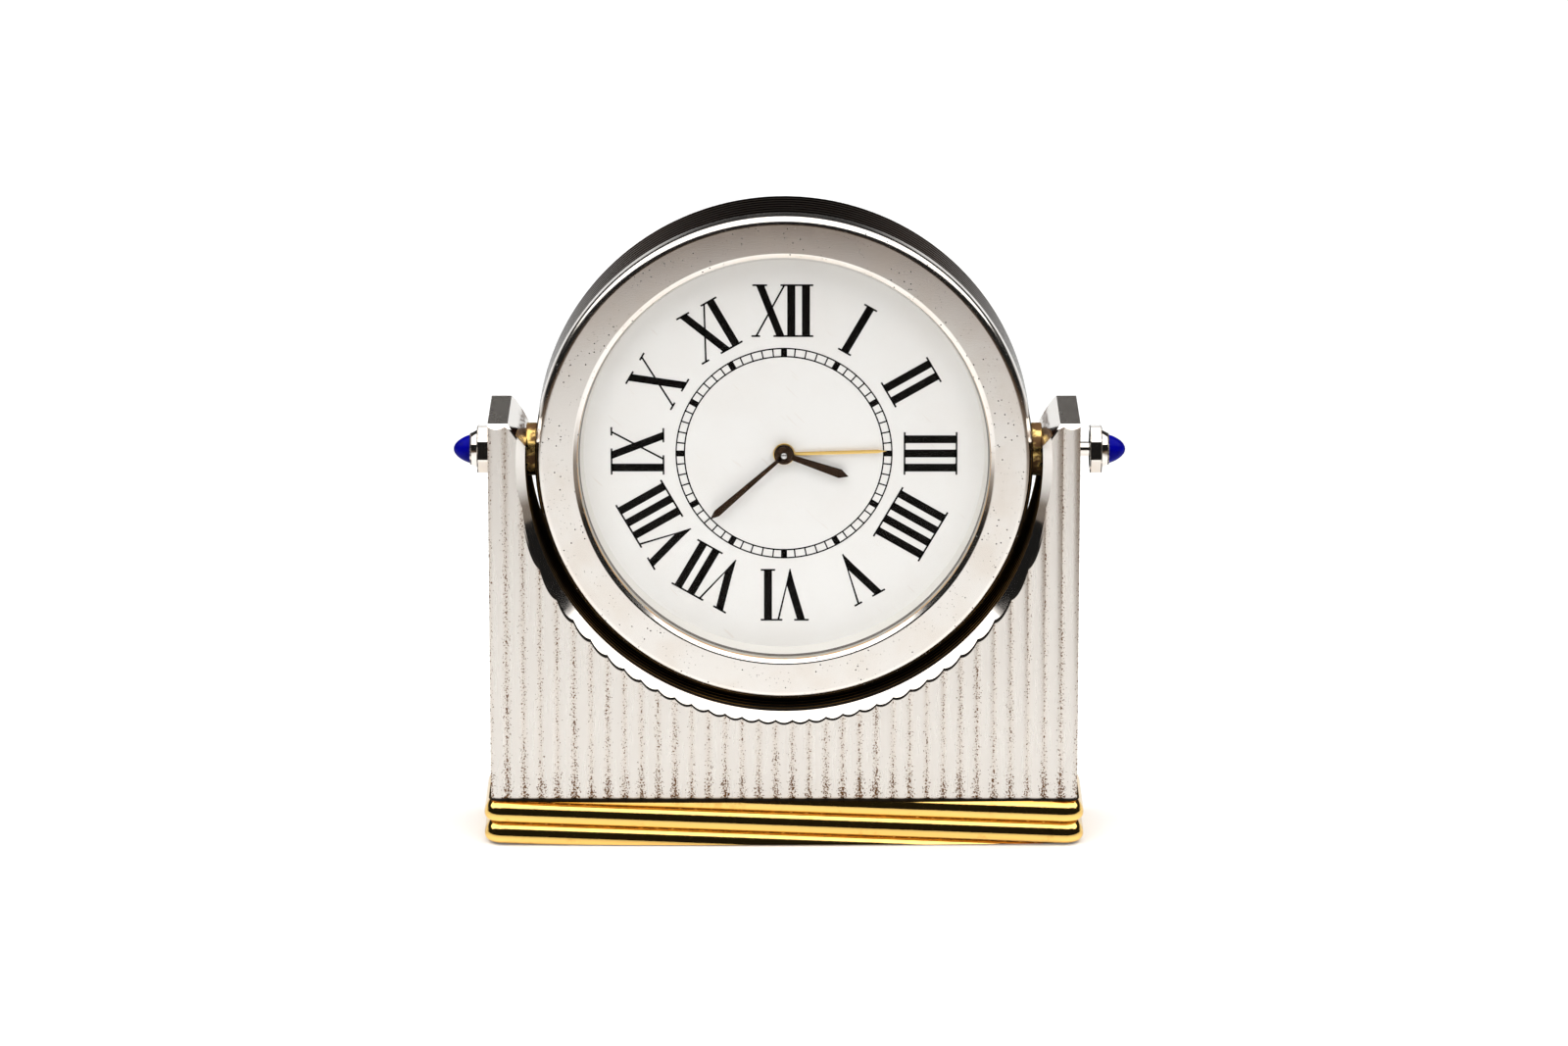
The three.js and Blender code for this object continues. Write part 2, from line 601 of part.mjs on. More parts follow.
function addPivot(side, label, backedOut) {
  const knobStart = CRADLE_WIDTH / 2 + backedOut;
  const knobEnd = knobStart + KNOB_LENGTH;
  const cupEnd = knobEnd + CUP_LENGTH;
  const stoneSeat = cupEnd - STONE_SINK;
  const socket = STONE_RADIUS + SEATING_CLEARANCE;
  const shankEnd = DRUM_RADIUS - SHANK_GRIP + backedOut;
  const corner = KNOB_RADIUS / Math.cos(Math.PI / KNOB_SIDES);
  const knob = turnedGeometry(
    [[0, knobStart], [corner, knobStart], [corner, knobEnd], [0, knobEnd]],
    KNOB_SIDES,
  );
  knob.rotateY(Math.PI / KNOB_SIDES).rotateZ(-side * Math.PI / 2);
  const stem = swung([
    [0, shankEnd],
    [SHANK_RADIUS, shankEnd],
    [SHANK_RADIUS, knobStart],
    [CUP_RADIUS, knobStart],
    [CUP_RADIUS, knobEnd],
    [socket + SEATING_CLEARANCE, cupEnd],
    [socket, cupEnd],
    [socket, stoneSeat],
    [0, stoneSeat],
  ], side, KNOB_FACETS);
  const dome = domeProfile(STONE_RADIUS, cupEnd, STONE_LENGTH - STONE_SINK);
  const stone = swung([[0, stoneSeat], [STONE_RADIUS, stoneSeat], ...dome], side, KNOB_FACETS);
  const washer = swung([
    [SHANK_RADIUS + RUNNING_CLEARANCE, DRUM_SEAT],
    [WASHER_RADIUS, DRUM_SEAT],
    [WASHER_RADIUS, UPRIGHT_SEAT - RUNNING_CLEARANCE],
    [SHANK_RADIUS + RUNNING_CLEARANCE, UPRIGHT_SEAT - RUNNING_CLEARANCE],
    [SHANK_RADIUS + RUNNING_CLEARANCE, DRUM_SEAT],
  ], side, KNOB_FACETS);
  addPiece(drum, `pivot_screw_${label}`, join(stem, solid(knob)), SILVER);
  addPiece(drum, `pivot_cabochon_${label}`, stone, BLUE_STONE);
  addPiece(drum, `pivot_washer_${label}`, washer, BRASS);
}

// Drum shell

function ribProfile(front, back) {
  const pitch = (back - front) / RIB_COUNT;
  const profile = [];
  for (let rib = 0; rib < RIB_COUNT; rib += 1) {
    const start = front + rib * pitch;
    profile.push([DRUM_RADIUS - RIB_DEPTH, start], [DRUM_RADIUS, start + pitch / 2]);
  }
  profile.push([DRUM_RADIUS - RIB_DEPTH, back]);
  return profile;
}

function addCaseBand() {
  const band = turnedRing([
    [CASE_BORE, BEZEL_BACK],
    ...ribProfile(BEZEL_BACK, DRUM_BACK),
    [CASE_BORE, DRUM_BACK],
  ]);
  const seats = [-1, 1].map((side) => swung([
    [0, DRUM_SEAT],
    [WASHER_RADIUS + SEATING_CLEARANCE, DRUM_SEAT],
    [WASHER_RADIUS + SEATING_CLEARANCE, DRUM_RADIUS + CUTTER_OVERRUN],
    [0, DRUM_RADIUS + CUTTER_OVERRUN],
  ], side, KNOB_FACETS));
  const reach = DRUM_RADIUS + CUTTER_OVERRUN;
  const threads = crossRod(SHANK_RADIUS + RUNNING_CLEARANCE, -reach, reach);
  addPiece(drum, "case_band", cut(band, ...seats, threads), SILVER);
}

function addBezel() {
  const bezel = turnedRing([
    [LIP_RADIUS, CRYSTAL_FRONT - LIP_EDGE],
    [FACE_INNER, BEZEL_FRONT],
    [FACE_INNER + BEZEL_FACE, BEZEL_FRONT],
    [DRUM_RADIUS, BEZEL_FRONT + BEZEL_EDGE],
    [DRUM_RADIUS, BEZEL_BACK],
    [BEZEL_BORE, BEZEL_BACK],
    [BEZEL_BORE, CRYSTAL_FRONT],
    [LIP_RADIUS, CRYSTAL_FRONT],
  ]);
  addPiece(drum, "bezel", bezel, SILVER);
}

function addCrystal() {
  const crystal = rod(CRYSTAL_RADIUS, CRYSTAL_FRONT, CRYSTAL_BACK, [0, 0], DRUM_FACETS);
  const gasket = tube(GASKET_INNER, GASKET_OUTER, CRYSTAL_FRONT, CRYSTAL_BACK);
  addPiece(drum, "crystal", crystal, GLASS);
  addPiece(drum, "crystal_gasket", gasket, BLACK_RUBBER);
}

const DIAL_FEET = [-1, 1].map((side) => [(side * DIAL_FOOT_SPACING) / 2, -DIAL_FOOT_DROP]);

function addDial() {
  const ring = turnedRing([
    [DIAL_SIGHT_RADIUS + DIAL_RING_SLOPE, CRYSTAL_BACK],
    [DIAL_RADIUS, CRYSTAL_BACK],
    [DIAL_RADIUS, DIAL_FACE],
    [DIAL_SIGHT_RADIUS, DIAL_FACE],
  ]);
  const disc = rod(DIAL_RADIUS, DIAL_FACE, DIAL_BACK, [0, 0], DRUM_FACETS);
  const hole = rod(DIAL_HOLE_RADIUS, DIAL_FACE - CUTTER_OVERRUN, DIAL_BACK + CUTTER_OVERRUN);
  const feet = DIAL_FEET.map((at) => rod(DIAL_FOOT_RADIUS, DIAL_FACE, PLATE_PIVOT, at));
  addPiece(drum, "dial_ring", ring, WHITE_PLASTIC);
  addPiece(drum, "dial", cut(join(disc, ...feet), hole), DIAL_WHITE);
}

const backScrewRadius = HOLDER_OUTER - BACK_SCREW_INSET;
const BACK_SCREWS = Array.from({ length: BACK_SCREW_COUNT }, (_, i) => {
  const angle = Math.PI / 2 + (i * 2 * Math.PI) / BACK_SCREW_COUNT;
  return [backScrewRadius * Math.cos(angle), backScrewRadius * Math.sin(angle)];
});

function addHolder() {
  const ring = tube(HOLDER_INNER, HOLDER_OUTER, DIAL_BACK, COVER_FRONT);
  const screwTip = COVER_FRONT - BACK_SCREW_GRIP - SCREW_CLEARANCE;
  const holes = BACK_SCREWS.map((at) =>
    rod(BACK_SCREW_RADIUS + SCREW_CLEARANCE, screwTip, COVER_FRONT + CUTTER_OVERRUN, at));
  const notches = block(
    about(0, MOVEMENT_WIDTH + 2 * HOLDER_CLEARANCE),
    [DIAL_BACK - CUTTER_OVERRUN, COVER_FRONT + CUTTER_OVERRUN],
    about(0, MOVEMENT_HEIGHT + 2 * HOLDER_CLEARANCE),
  );
  addPiece(drum, "movement_ring", cut(ring, notches, ...holes), WHITE_PLASTIC);
}

function slideSlot(front, back) {
  const [x, z] = SLIDE_AT;
  return block(
    about(x, SLIDE_TONGUE_WIDTH + SLIDE_TRAVEL + 2 * SEATING_CLEARANCE),
    [front, back],
    about(z, SLIDE_TONGUE_HEIGHT + 2 * SEATING_CLEARANCE),
  );
}

function addBackCover() {
  const cover = rod(HOLDER_OUTER, COVER_FRONT, COVER_BACK, [0, 0], DRUM_FACETS);
  const front = COVER_FRONT - CUTTER_OVERRUN;
  const back = COVER_BACK + CUTTER_OVERRUN;
  const soundHoles = Array.from({ length: SOUND_HOLE_COUNT + 1 }, (_, i) => {
    const angle = (i / SOUND_HOLE_COUNT) * 2 * Math.PI;
    const ring = i < SOUND_HOLE_COUNT ? SOUND_HOLE_RING : 0;
    const at = [BUZZER_AT[0] + ring * Math.cos(angle), BUZZER_AT[1] + ring * Math.sin(angle)];
    return rod(SOUND_HOLE_RADIUS, front, back, at, SMALL_FACETS / 2);
  });
  const body = cut(
    cover,
    ...BACK_SCREWS.map((at) => rod(BACK_SCREW_RADIUS + SCREW_CLEARANCE, front, back, at)),
    ...[TIME_STEM_AT, ALARM_STEM_AT].map((at) =>
      rod(STEM_RADIUS + RUNNING_CLEARANCE, front, back, at)),
    ...soundHoles,
    rod(HATCH_RADIUS + SEATING_CLEARANCE, front, back, CELL_AT, KNOB_FACETS),
    slideSlot(front, back),
  );
  addPiece(drum, "back_cover", body, SILVER);
}

function addBackScrews() {
  const headBack = COVER_BACK + BACK_SCREW_HEAD_HEIGHT;
  BACK_SCREWS.forEach((at, i) => {
    const screw = join(
      rod(BACK_SCREW_RADIUS, COVER_FRONT - BACK_SCREW_GRIP, headBack, at),
      rod(BACK_SCREW_HEAD_RADIUS, COVER_BACK, headBack, at),
    );
    const slot = block(
      about(at[0], 2 * BACK_SCREW_HEAD_RADIUS + CUTTER_OVERRUN),
      [headBack - BACK_SCREW_HEAD_HEIGHT / 2, headBack + CUTTER_OVERRUN],
      about(at[1], BACK_SCREW_HEAD_HEIGHT),
    );
    addPiece(drum, `back_screw_${i + 1}`, cut(screw, slot), STEEL);
  });
}

// Movement frame

const plateHoles = [
  [ALARM_TUBE_RADIUS, [0, 0]],
  [WHEEL_ARBOR_RADIUS, MOTION_AT],
  [WHEEL_ARBOR_RADIUS, THIRD_AT],
  [WHEEL_ARBOR_RADIUS, ROTOR_AT],
  [STEM_RADIUS, TIME_STEM_AT],
  [STEM_RADIUS, ALARM_STEM_AT],
  ...DIAL_FEET.map((at) => [DIAL_FOOT_RADIUS, at]),
];

const housingHoles = [
  [MINUTE_ARBOR_RADIUS, [0, 0]],
  [WHEEL_ARBOR_RADIUS, MOTION_AT],
  [WHEEL_ARBOR_RADIUS, THIRD_AT],
  [WHEEL_ARBOR_RADIUS, ROTOR_AT],
  [STEM_RADIUS, TIME_STEM_AT],
  [STEM_RADIUS, ALARM_STEM_AT],
];

function addMovementFrame() {
  const width = about(0, MOVEMENT_WIDTH);
  const height = about(0, MOVEMENT_HEIGHT);
  const frontPlate = cut(
    block(width, [DIAL_BACK, PLATE_BACK], height),
    ...plateHoles.map(([radius, at]) =>
      rod(radius + RUNNING_CLEARANCE, DIAL_BACK - CUTTER_OVERRUN, PLATE_BACK + CUTTER_OVERRUN, at)),
  );
  const inside = block(
    about(0, MOVEMENT_WIDTH - 2 * HOUSING_WALL),
    [PLATE_BACK - CUTTER_OVERRUN, HOUSING_INNER],
    about(0, MOVEMENT_HEIGHT - 2 * HOUSING_WALL),
  );
  const front = HOUSING_INNER - CUTTER_OVERRUN;
  const back = COVER_FRONT + CUTTER_OVERRUN;
  const housing = cut(
    block(width, [PLATE_BACK, COVER_FRONT], height),
    inside,
    ...housingHoles.map(([radius, at]) => rod(radius + RUNNING_CLEARANCE, front, back, at)),
    rod(CELL_RADIUS + SEATING_CLEARANCE, front, back, CELL_AT, KNOB_FACETS),
    slideSlot(front, back),
  );
  addPiece(drum, "movement_plate", frontPlate, WHITE_PLASTIC);
  addPiece(drum, "movement_housing", housing, BLACK_PLASTIC);
}

// Wheels

function addMotionWork() {
  const bore = (radius) => rod(radius, MINUTE_HAND_BACK, COVER_FRONT);
  const arbor = join(
    rod(MINUTE_ARBOR_RADIUS, MINUTE_HAND_BACK - HAND_THICKNESS - PIN_RISE, HOUSING_PIVOT),
    gear(CANNON_TEETH, MOTION_MODULE, 0, MOTION_LAYER),
    gear(CENTRE_TEETH, TRAIN_MODULE, Math.PI / 2, CENTRE_LAYER),
  );
  const motion = join(
    rod(WHEEL_ARBOR_RADIUS, PLATE_PIVOT, HOUSING_PIVOT, MOTION_AT),
    gear(MOTION_TEETH, MOTION_MODULE, gapOn(Math.PI, MOTION_TEETH), MOTION_LAYER, MOTION_AT),
    gear(MOTION_PINION_TEETH, MOTION_MODULE, gapOn(Math.PI, MOTION_PINION_TEETH), HOUR_LAYER, MOTION_AT),
  );
  const hour = join(
    gear(HOUR_TEETH, MOTION_MODULE, 0, HOUR_LAYER),
    rod(HOUR_TUBE_RADIUS, HOUR_HAND_BACK - HAND_THICKNESS, HOUR_LAYER + WHEEL_THICKNESS),
  );
  const alarm = join(
    gear(ALARM_TEETH, MOTION_MODULE, Math.PI, ALARM_LAYER),
    rod(ALARM_TUBE_RADIUS, ALARM_HAND_BACK - HAND_THICKNESS, ALARM_LAYER + WHEEL_THICKNESS),
  );
  addPiece(drum, "minute_arbor", arbor, BRASS);
  addPiece(drum, "motion_wheel", motion, BRASS);
  addPiece(drum, "hour_wheel", cut(hour, bore(HOUR_TUBE_BORE)), BRASS);
  addPiece(drum, "alarm_wheel", cut(alarm, bore(ALARM_TUBE_BORE)), BRASS);
}

function addMotor() {
  const third = join(
    rod(WHEEL_ARBOR_RADIUS, PLATE_PIVOT, HOUSING_PIVOT, THIRD_AT),
    gear(THIRD_PINION_TEETH, TRAIN_MODULE, gapOn(-Math.PI / 2, THIRD_PINION_TEETH), CENTRE_LAYER, THIRD_AT),
    gear(THIRD_TEETH, TRAIN_MODULE, Math.PI, THIRD_LAYER, THIRD_AT),
  );
  const rotor = join(
    rod(WHEEL_ARBOR_RADIUS, PLATE_PIVOT, HOUSING_PIVOT, ROTOR_AT),
    gear(ROTOR_PINION_TEETH, TRAIN_MODULE, gapOn(0, ROTOR_PINION_TEETH), THIRD_LAYER, ROTOR_AT),
    rod(MAGNET_RADIUS, MAGNET_LAYER, MAGNET_LAYER + MAGNET_LENGTH, ROTOR_AT),
  );
  const [x, z] = ROTOR_AT;
  const depth = [STATOR_LAYER, STATOR_LAYER + STATOR_THICKNESS];
  const barTop = z + STATOR_RISE;
  const barBottom = barTop - STATOR_BAR;
  const farSide = x - STATOR_REACH;
  const nearSide = x + STATOR_NEAR;
  const through = [depth[0] - CUTTER_OVERRUN, depth[1] + CUTTER_OVERRUN];
  const stator = cut(
    block([farSide, nearSide], depth, [z - STATOR_CHEEK, barTop]),
    rod(MAGNET_RADIUS + STATOR_THICKNESS / 2, ...through, ROTOR_AT, KNOB_FACETS),
    block([farSide + STATOR_LEG, nearSide - STATOR_LEG], through, [z + STATOR_CHEEK, barBottom]),
  );
  const bore = STATOR_BAR * Math.SQRT1_2 + SEATING_CLEARANCE;
  const coilGeometry = turnedGeometry([
    [bore, farSide + STATOR_LEG + SEATING_CLEARANCE],
    [COIL_RADIUS, farSide + STATOR_LEG + SEATING_CLEARANCE],
    [COIL_RADIUS, nearSide - STATOR_LEG - SEATING_CLEARANCE],
    [bore, nearSide - STATOR_LEG - SEATING_CLEARANCE],
    [bore, farSide + STATOR_LEG + SEATING_CLEARANCE],
  ], SMALL_FACETS).rotateZ(-Math.PI / 2);
  const coil = coilGeometry.translate(0, (depth[0] + depth[1]) / 2, (barTop + barBottom) / 2);
  addPiece(drum, "third_wheel", third, BRASS);
  addPiece(drum, "rotor", rotor, STEEL);
  addPiece(drum, "stator", stator, STEEL);
  addPiece(drum, "coil", solid(coil), COPPER);
}

// Electrics

function addElectrics() {
  const innerX = MOVEMENT_WIDTH / 2 - HOUSING_WALL - SEATING_CLEARANCE;
  const innerZ = MOVEMENT_HEIGHT / 2 - HOUSING_WALL - SEATING_CLEARANCE;
  const boardFront = PLATE_BACK + 2 * LAYER;
  const board = block(
    [-innerX, -innerX + BOARD_WIDTH],
    [boardFront, boardFront + BOARD_THICKNESS],
    [-innerZ, -innerZ + BOARD_HEIGHT],
  );
  const buzzerBack = HOUSING_INNER - SEATING_CLEARANCE;
  const buzzer = rod(BUZZER_RADIUS, buzzerBack - BUZZER_THICKNESS, buzzerBack, BUZZER_AT, KNOB_FACETS);
  const [x, z] = CELL_AT;
  const minusBack = PLATE_BACK + CONTACT_THICKNESS;
  const cellFront = minusBack + SEATING_CLEARANCE;
  const cell = rod(CELL_RADIUS, cellFront, cellFront + CELL_LENGTH, CELL_AT, KNOB_FACETS);
  const minus = block(about(x, CONTACT_WIDTH), [PLATE_BACK, minusBack], about(z, CONTACT_WIDTH));
  const rim = x + CELL_RADIUS + SEATING_CLEARANCE;
  const middle = cellFront + CELL_LENGTH / 2;
  const plus = join(
    block([rim, rim + CONTACT_THICKNESS], about(middle, CELL_LENGTH / 2), about(z, CONTACT_WIDTH)),
    block([rim, innerX], about(middle, CONTACT_THICKNESS), about(z, CONTACT_WIDTH / 2)),
  );
  addPiece(drum, "circuit_board", board, BOARD_GREEN);
  addPiece(drum, "buzzer", buzzer, BRASS);
  addPiece(drum, "battery", cell, STEEL);
  addPiece(drum, "battery_contact_minus", minus, STEEL);
  addPiece(drum, "battery_contact_plus", plus, STEEL);
  return cellFront + CELL_LENGTH;
}

function addHatch(cellBack) {
  const seat = COVER_FRONT + SEATING_CLEARANCE;
  const hatch = join(
    rod(HATCH_RADIUS, seat, COVER_BACK, CELL_AT, KNOB_FACETS),
    rod(HATCH_BOSS_RADIUS, cellBack + SEATING_CLEARANCE, COVER_BACK, CELL_AT, KNOB_FACETS),
  );
  const slot = block(
    about(CELL_AT[0], 2 * HATCH_BOSS_RADIUS),
    [COVER_BACK - HATCH_SLOT_DEPTH, COVER_BACK + CUTTER_OVERRUN],
    about(CELL_AT[1], 2 * HATCH_SLOT_DEPTH),
  );
  addPiece(drum, "battery_hatch", cut(hatch, slot), SILVER);
}

// Setting knobs, their stems and the alarm slide

function flutedOutline() {
  const points = [];
  const steps = 2 * SETTER_FLUTES;
  for (let i = 0; i < steps; i += 1) {
    const angle = (i / steps) * 2 * Math.PI;
    const radius = SETTER_RADIUS - (i % 2) * SETTER_FLUTE_DEPTH;
    points.push([radius * Math.cos(angle), radius * Math.sin(angle)]);
  }
  return outline(points);
}

function addSetter(label, at, pinion) {
  const knobFront = COVER_BACK + WHEEL_GAP;
  const knobBack = knobFront + SETTER_LENGTH;
  const stemEnd = knobBack - SETTER_LENGTH / 3;
  const stem = join(rod(STEM_RADIUS, PLATE_PIVOT, stemEnd, at), pinion);
  const socket = rod(
    STEM_RADIUS + RUNNING_CLEARANCE,
    knobFront - CUTTER_OVERRUN,
    stemEnd + RUNNING_CLEARANCE,
    at,
  );
  addPiece(drum, `${label}_set_stem`, stem, BRASS);
  addPiece(drum, `${label}_set_knob`, cut(plate(flutedOutline(), knobFront, knobBack, at), socket), GOLD);
}

function addSetters() {
  const timePinion = gear(CANNON_TEETH, MOTION_MODULE, Math.PI, MOTION_LAYER, TIME_STEM_AT);
  const alarmPhase = gapOn(0, ALARM_PINION_TEETH);
  const alarmPinion = gear(ALARM_PINION_TEETH, MOTION_MODULE, alarmPhase, ALARM_LAYER, ALARM_STEM_AT);
  addSetter("time", TIME_STEM_AT, timePinion);
  addSetter("alarm", ALARM_STEM_AT, alarmPinion);
}

function addAlarmSlide() {
  const [x, z] = SLIDE_AT;
  const plateFront = COVER_BACK + RUNNING_CLEARANCE;
  const plateBack = plateFront + SLIDE_PLATE_THICKNESS;
  const slide = join(
    block(about(x, SLIDE_PLATE_WIDTH), [plateFront, plateBack], about(z, SLIDE_PLATE_HEIGHT)),
    block(
      about(x, SLIDE_TONGUE_WIDTH),
      [COVER_BACK - SLIDE_TONGUE_DEPTH, plateBack],
      about(z, SLIDE_TONGUE_HEIGHT),
    ),
    block(
      about(x, SLIDE_NUB_WIDTH),
      [plateFront, plateBack + SLIDE_NUB_HEIGHT],
      about(z, SLIDE_PLATE_HEIGHT),
    ),
  );
  addPiece(drum, "alarm_slide", slide, BLACK_PLASTIC);
}

// Hands: a lance that widens from its neck to a short point, on a round hub

function lance(length, width, neck) {
  const shoulder = length - HAND_POINT;
  return outline([
    [-neck / 2, 0],
    [-width / 2, shoulder],
    [0, length],
    [width / 2, shoulder],
    [neck / 2, 0],
  ]);
}

function addHand(name, blade, back, hubRadius, boreRadius, angle, material) {
  const front = back - HAND_THICKNESS;
  const hand = cut(
    join(plate(blade, front, back), rod(hubRadius, front, back, [0, 0], KNOB_FACETS)),
    rod(boreRadius + RUNNING_CLEARANCE, front - CUTTER_OVERRUN, back + CUTTER_OVERRUN),
  );
  addPiece(drum, name, hand, material).rotation.y = THREE.MathUtils.degToRad(angle);
}

function addHands() {
  const alarmBlade = lance(ALARM_HAND_LENGTH, ALARM_HAND_WIDTH, ALARM_HAND_NECK);
  const hourBlade = lance(HOUR_HAND_LENGTH, HOUR_HAND_WIDTH, HOUR_HAND_NECK);
  const minuteBlade = lance(MINUTE_HAND_LENGTH, MINUTE_HAND_WIDTH, MINUTE_HAND_NECK);
  const hourHub = HUB_RADIUS + HUB_STEP;
  const alarmHub = hourHub + HUB_STEP;
  addHand("alarm_hand", alarmBlade, ALARM_HAND_BACK, alarmHub, ALARM_TUBE_RADIUS, ALARM_HAND_ANGLE, GOLD);
  addHand("hour_hand", hourBlade, HOUR_HAND_BACK, hourHub, HOUR_TUBE_RADIUS, HOUR_HAND_ANGLE, BRONZE);
  addHand(
    "minute_hand", minuteBlade, MINUTE_HAND_BACK, HUB_RADIUS, MINUTE_ARBOR_RADIUS, MINUTE_HAND_ANGLE, BRONZE,
  );
}

addBase();
addCradle();
addCradleScrews();
addPivot(-1, "left", LEFT_BACKED_OUT);
addPivot(1, "right", RIGHT_BACKED_OUT);
addCaseBand();
addBezel();
addCrystal();
addDial();
addHolder();
addBackCover();
addBackScrews();
addMovementFrame();
addMotionWork();
addMotor();
addHatch(addElectrics());
addSetters();
addAlarmSlide();
addHands();

export default clock;
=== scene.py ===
"""Dresses a pivoting desk clock: a silver drum on two screws in a reeded cradle on a gilt base.

Metres, +Z up, dial facing -Y. Every piece is placed from the boxes of the loaded frame.
"""

import math

import bmesh
import bpy
from bpy.props import FloatProperty, FloatVectorProperty, IntProperty, PointerProperty
from mathutils import Matrix, Quaternion, Vector


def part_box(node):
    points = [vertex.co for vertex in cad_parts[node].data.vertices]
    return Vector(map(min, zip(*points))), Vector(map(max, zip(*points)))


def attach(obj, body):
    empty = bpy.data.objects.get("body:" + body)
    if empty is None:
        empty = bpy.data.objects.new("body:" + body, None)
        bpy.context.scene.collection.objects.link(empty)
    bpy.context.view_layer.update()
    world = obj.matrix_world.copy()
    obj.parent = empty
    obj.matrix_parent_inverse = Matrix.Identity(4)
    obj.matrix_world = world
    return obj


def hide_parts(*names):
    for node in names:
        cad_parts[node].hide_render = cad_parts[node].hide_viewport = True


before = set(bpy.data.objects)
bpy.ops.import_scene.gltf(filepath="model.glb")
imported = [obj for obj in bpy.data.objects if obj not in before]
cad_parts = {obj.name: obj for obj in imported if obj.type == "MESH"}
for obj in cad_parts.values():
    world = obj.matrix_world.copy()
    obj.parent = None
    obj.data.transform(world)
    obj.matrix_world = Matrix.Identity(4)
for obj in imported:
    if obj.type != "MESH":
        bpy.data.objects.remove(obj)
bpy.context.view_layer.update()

bl_info = {
    "name": "Reeded cradle desk clock",
    "version": (1, 0, 0),
    "blender": (4, 5, 0),
    "location": "3D View > Sidebar > Desk Clock",
    "description": "Models and finishes a pivoting desk clock piece by piece",
    "category": "Object",
}

MM = 0.001
ACROSS = Vector((1, 0, 0))
BACKWARD = Vector((0, 1, 0))
UP = Vector((0, 0, 1))
FULL_TURN = 2 * math.pi

# Fineness of the meshes
WELD = 1e-7
DRUM_STEPS = 192
SMALL_STEPS = 64
FILLET_STEPS = 6
REED_STEPS = 10
SHARP_ANGLE = math.radians(34)

# The photograph's frame
PHOTO_WIDTH = 1600
SENSOR_WIDTH = 36.0


# Places and sizes taken from the frame


def middle_of(node):
    low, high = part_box(node)
    return (low + high) / 2


def span_of(node):
    low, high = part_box(node)
    return high - low


def radius_of(node):
    """The radius of a node that is round about an axis along y."""
    return span_of(node).x / 2


def axis_of(node):
    """The point where the axis of such a node crosses the plane y = 0."""
    at = middle_of(node)
    return Vector((at.x, 0, at.z))


PIVOT = Vector((0, 0, middle_of("case_band").z))


def cut_radius(stand):
    """The radius of the cradle's round cut."""
    return radius_of("case_band") + stand.cut_gap


def slope_ridge(stand):
    """How far from the middle the slope on an upright's top begins."""
    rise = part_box("cradle")[1].z - PIVOT.z
    return math.sqrt(cut_radius(stand) ** 2 - rise ** 2) + stand.slope_width


# Settings


def length(label, description, millimetres):
    return FloatProperty(
        name=label, description=description, default=millimetres * MM, min=0, unit="LENGTH", precision=5
    )


def angle(label, description, degrees):
    return FloatProperty(
        name=label, description=description, default=math.radians(degrees), subtype="ANGLE"
    )


def colour(label, description, red, green, blue):
    return FloatVectorProperty(
        name=label, description=description, default=(red, green, blue), min=0, max=1, subtype="COLOR"
    )


def ratio(label, description, value):
    return FloatProperty(name=label, description=description, default=value, min=0)


class ClockStandSizes(bpy.types.PropertyGroup):
    """Sizes of the plinth, the cradle and the pivots."""

    plinth_corner: length("Plinth corner", "Plan radius of the plinth's corners", 3.0)
    roll_pitch: length("Roll pitch", "Height of one roll of the wound moulding", 3.3)
    roll_bulge: length("Roll bulge", "How far a roll stands out of the grooves", 1.2)
    roll_droop: ratio("Roll droop", "How far a roll's fullest part lies below its middle", 0.3)
    reed_count: IntProperty(name="Reeds", description="Reeds across the cradle's front", default=35, min=1)
    reed_depth: length("Reed depth", "From a reed's crest to the groove beside it", 0.35)
    cut_gap: length("Cut gap", "Between the drum and the cradle's round cut", 1.4)
    cut_chamfer: length("Cut chamfer", "Polished chamfer along the round cut", 1.4)
    slope_width: length("Slope width", "Slope on the inner top corner of an upright", 3.0)
    slope_drop: length("Slope drop", "Height of that slope", 4.2)
    top_chamfer: length("Top chamfer", "Chamfer along the front and back of an upright's top", 0.75)
    pivot_hole: length("Pivot hole", "Radius of the hole through an upright", 1.18)
    shank_radius: length("Shank radius", "Radius of a pivot screw's shank", 1.1)
    knob_length: length("Knob length", "Length of a pivot screw's knob", 1.85)
    knob_sides: IntProperty(name="Knob sides", description="Flats round a knob", default=8, min=3)
    knob_turn: angle("Knob turn", "How far a flat is turned up from facing the front", 8)
    knob_edge: length("Knob edge", "Rounding of the knob's edges", 0.18)
    cup_root: length("Cup root", "Radius of the cup where it leaves the knob", 2.9)
    cup_length: length("Cup length", "From the knob to the cup's rim", 1.1)
    cup_rim: length("Cup rim", "Radius of the cup where it grips the stone", 2.35)
    rim_wear: length("Rim wear", "Width of the worn edge round the cup's rim", 0.25)
    stone_fullness: FloatProperty(
        name="Stone fullness", description="2 is a round dome, 1 a parabola", default=1.25, min=1, max=2
    )


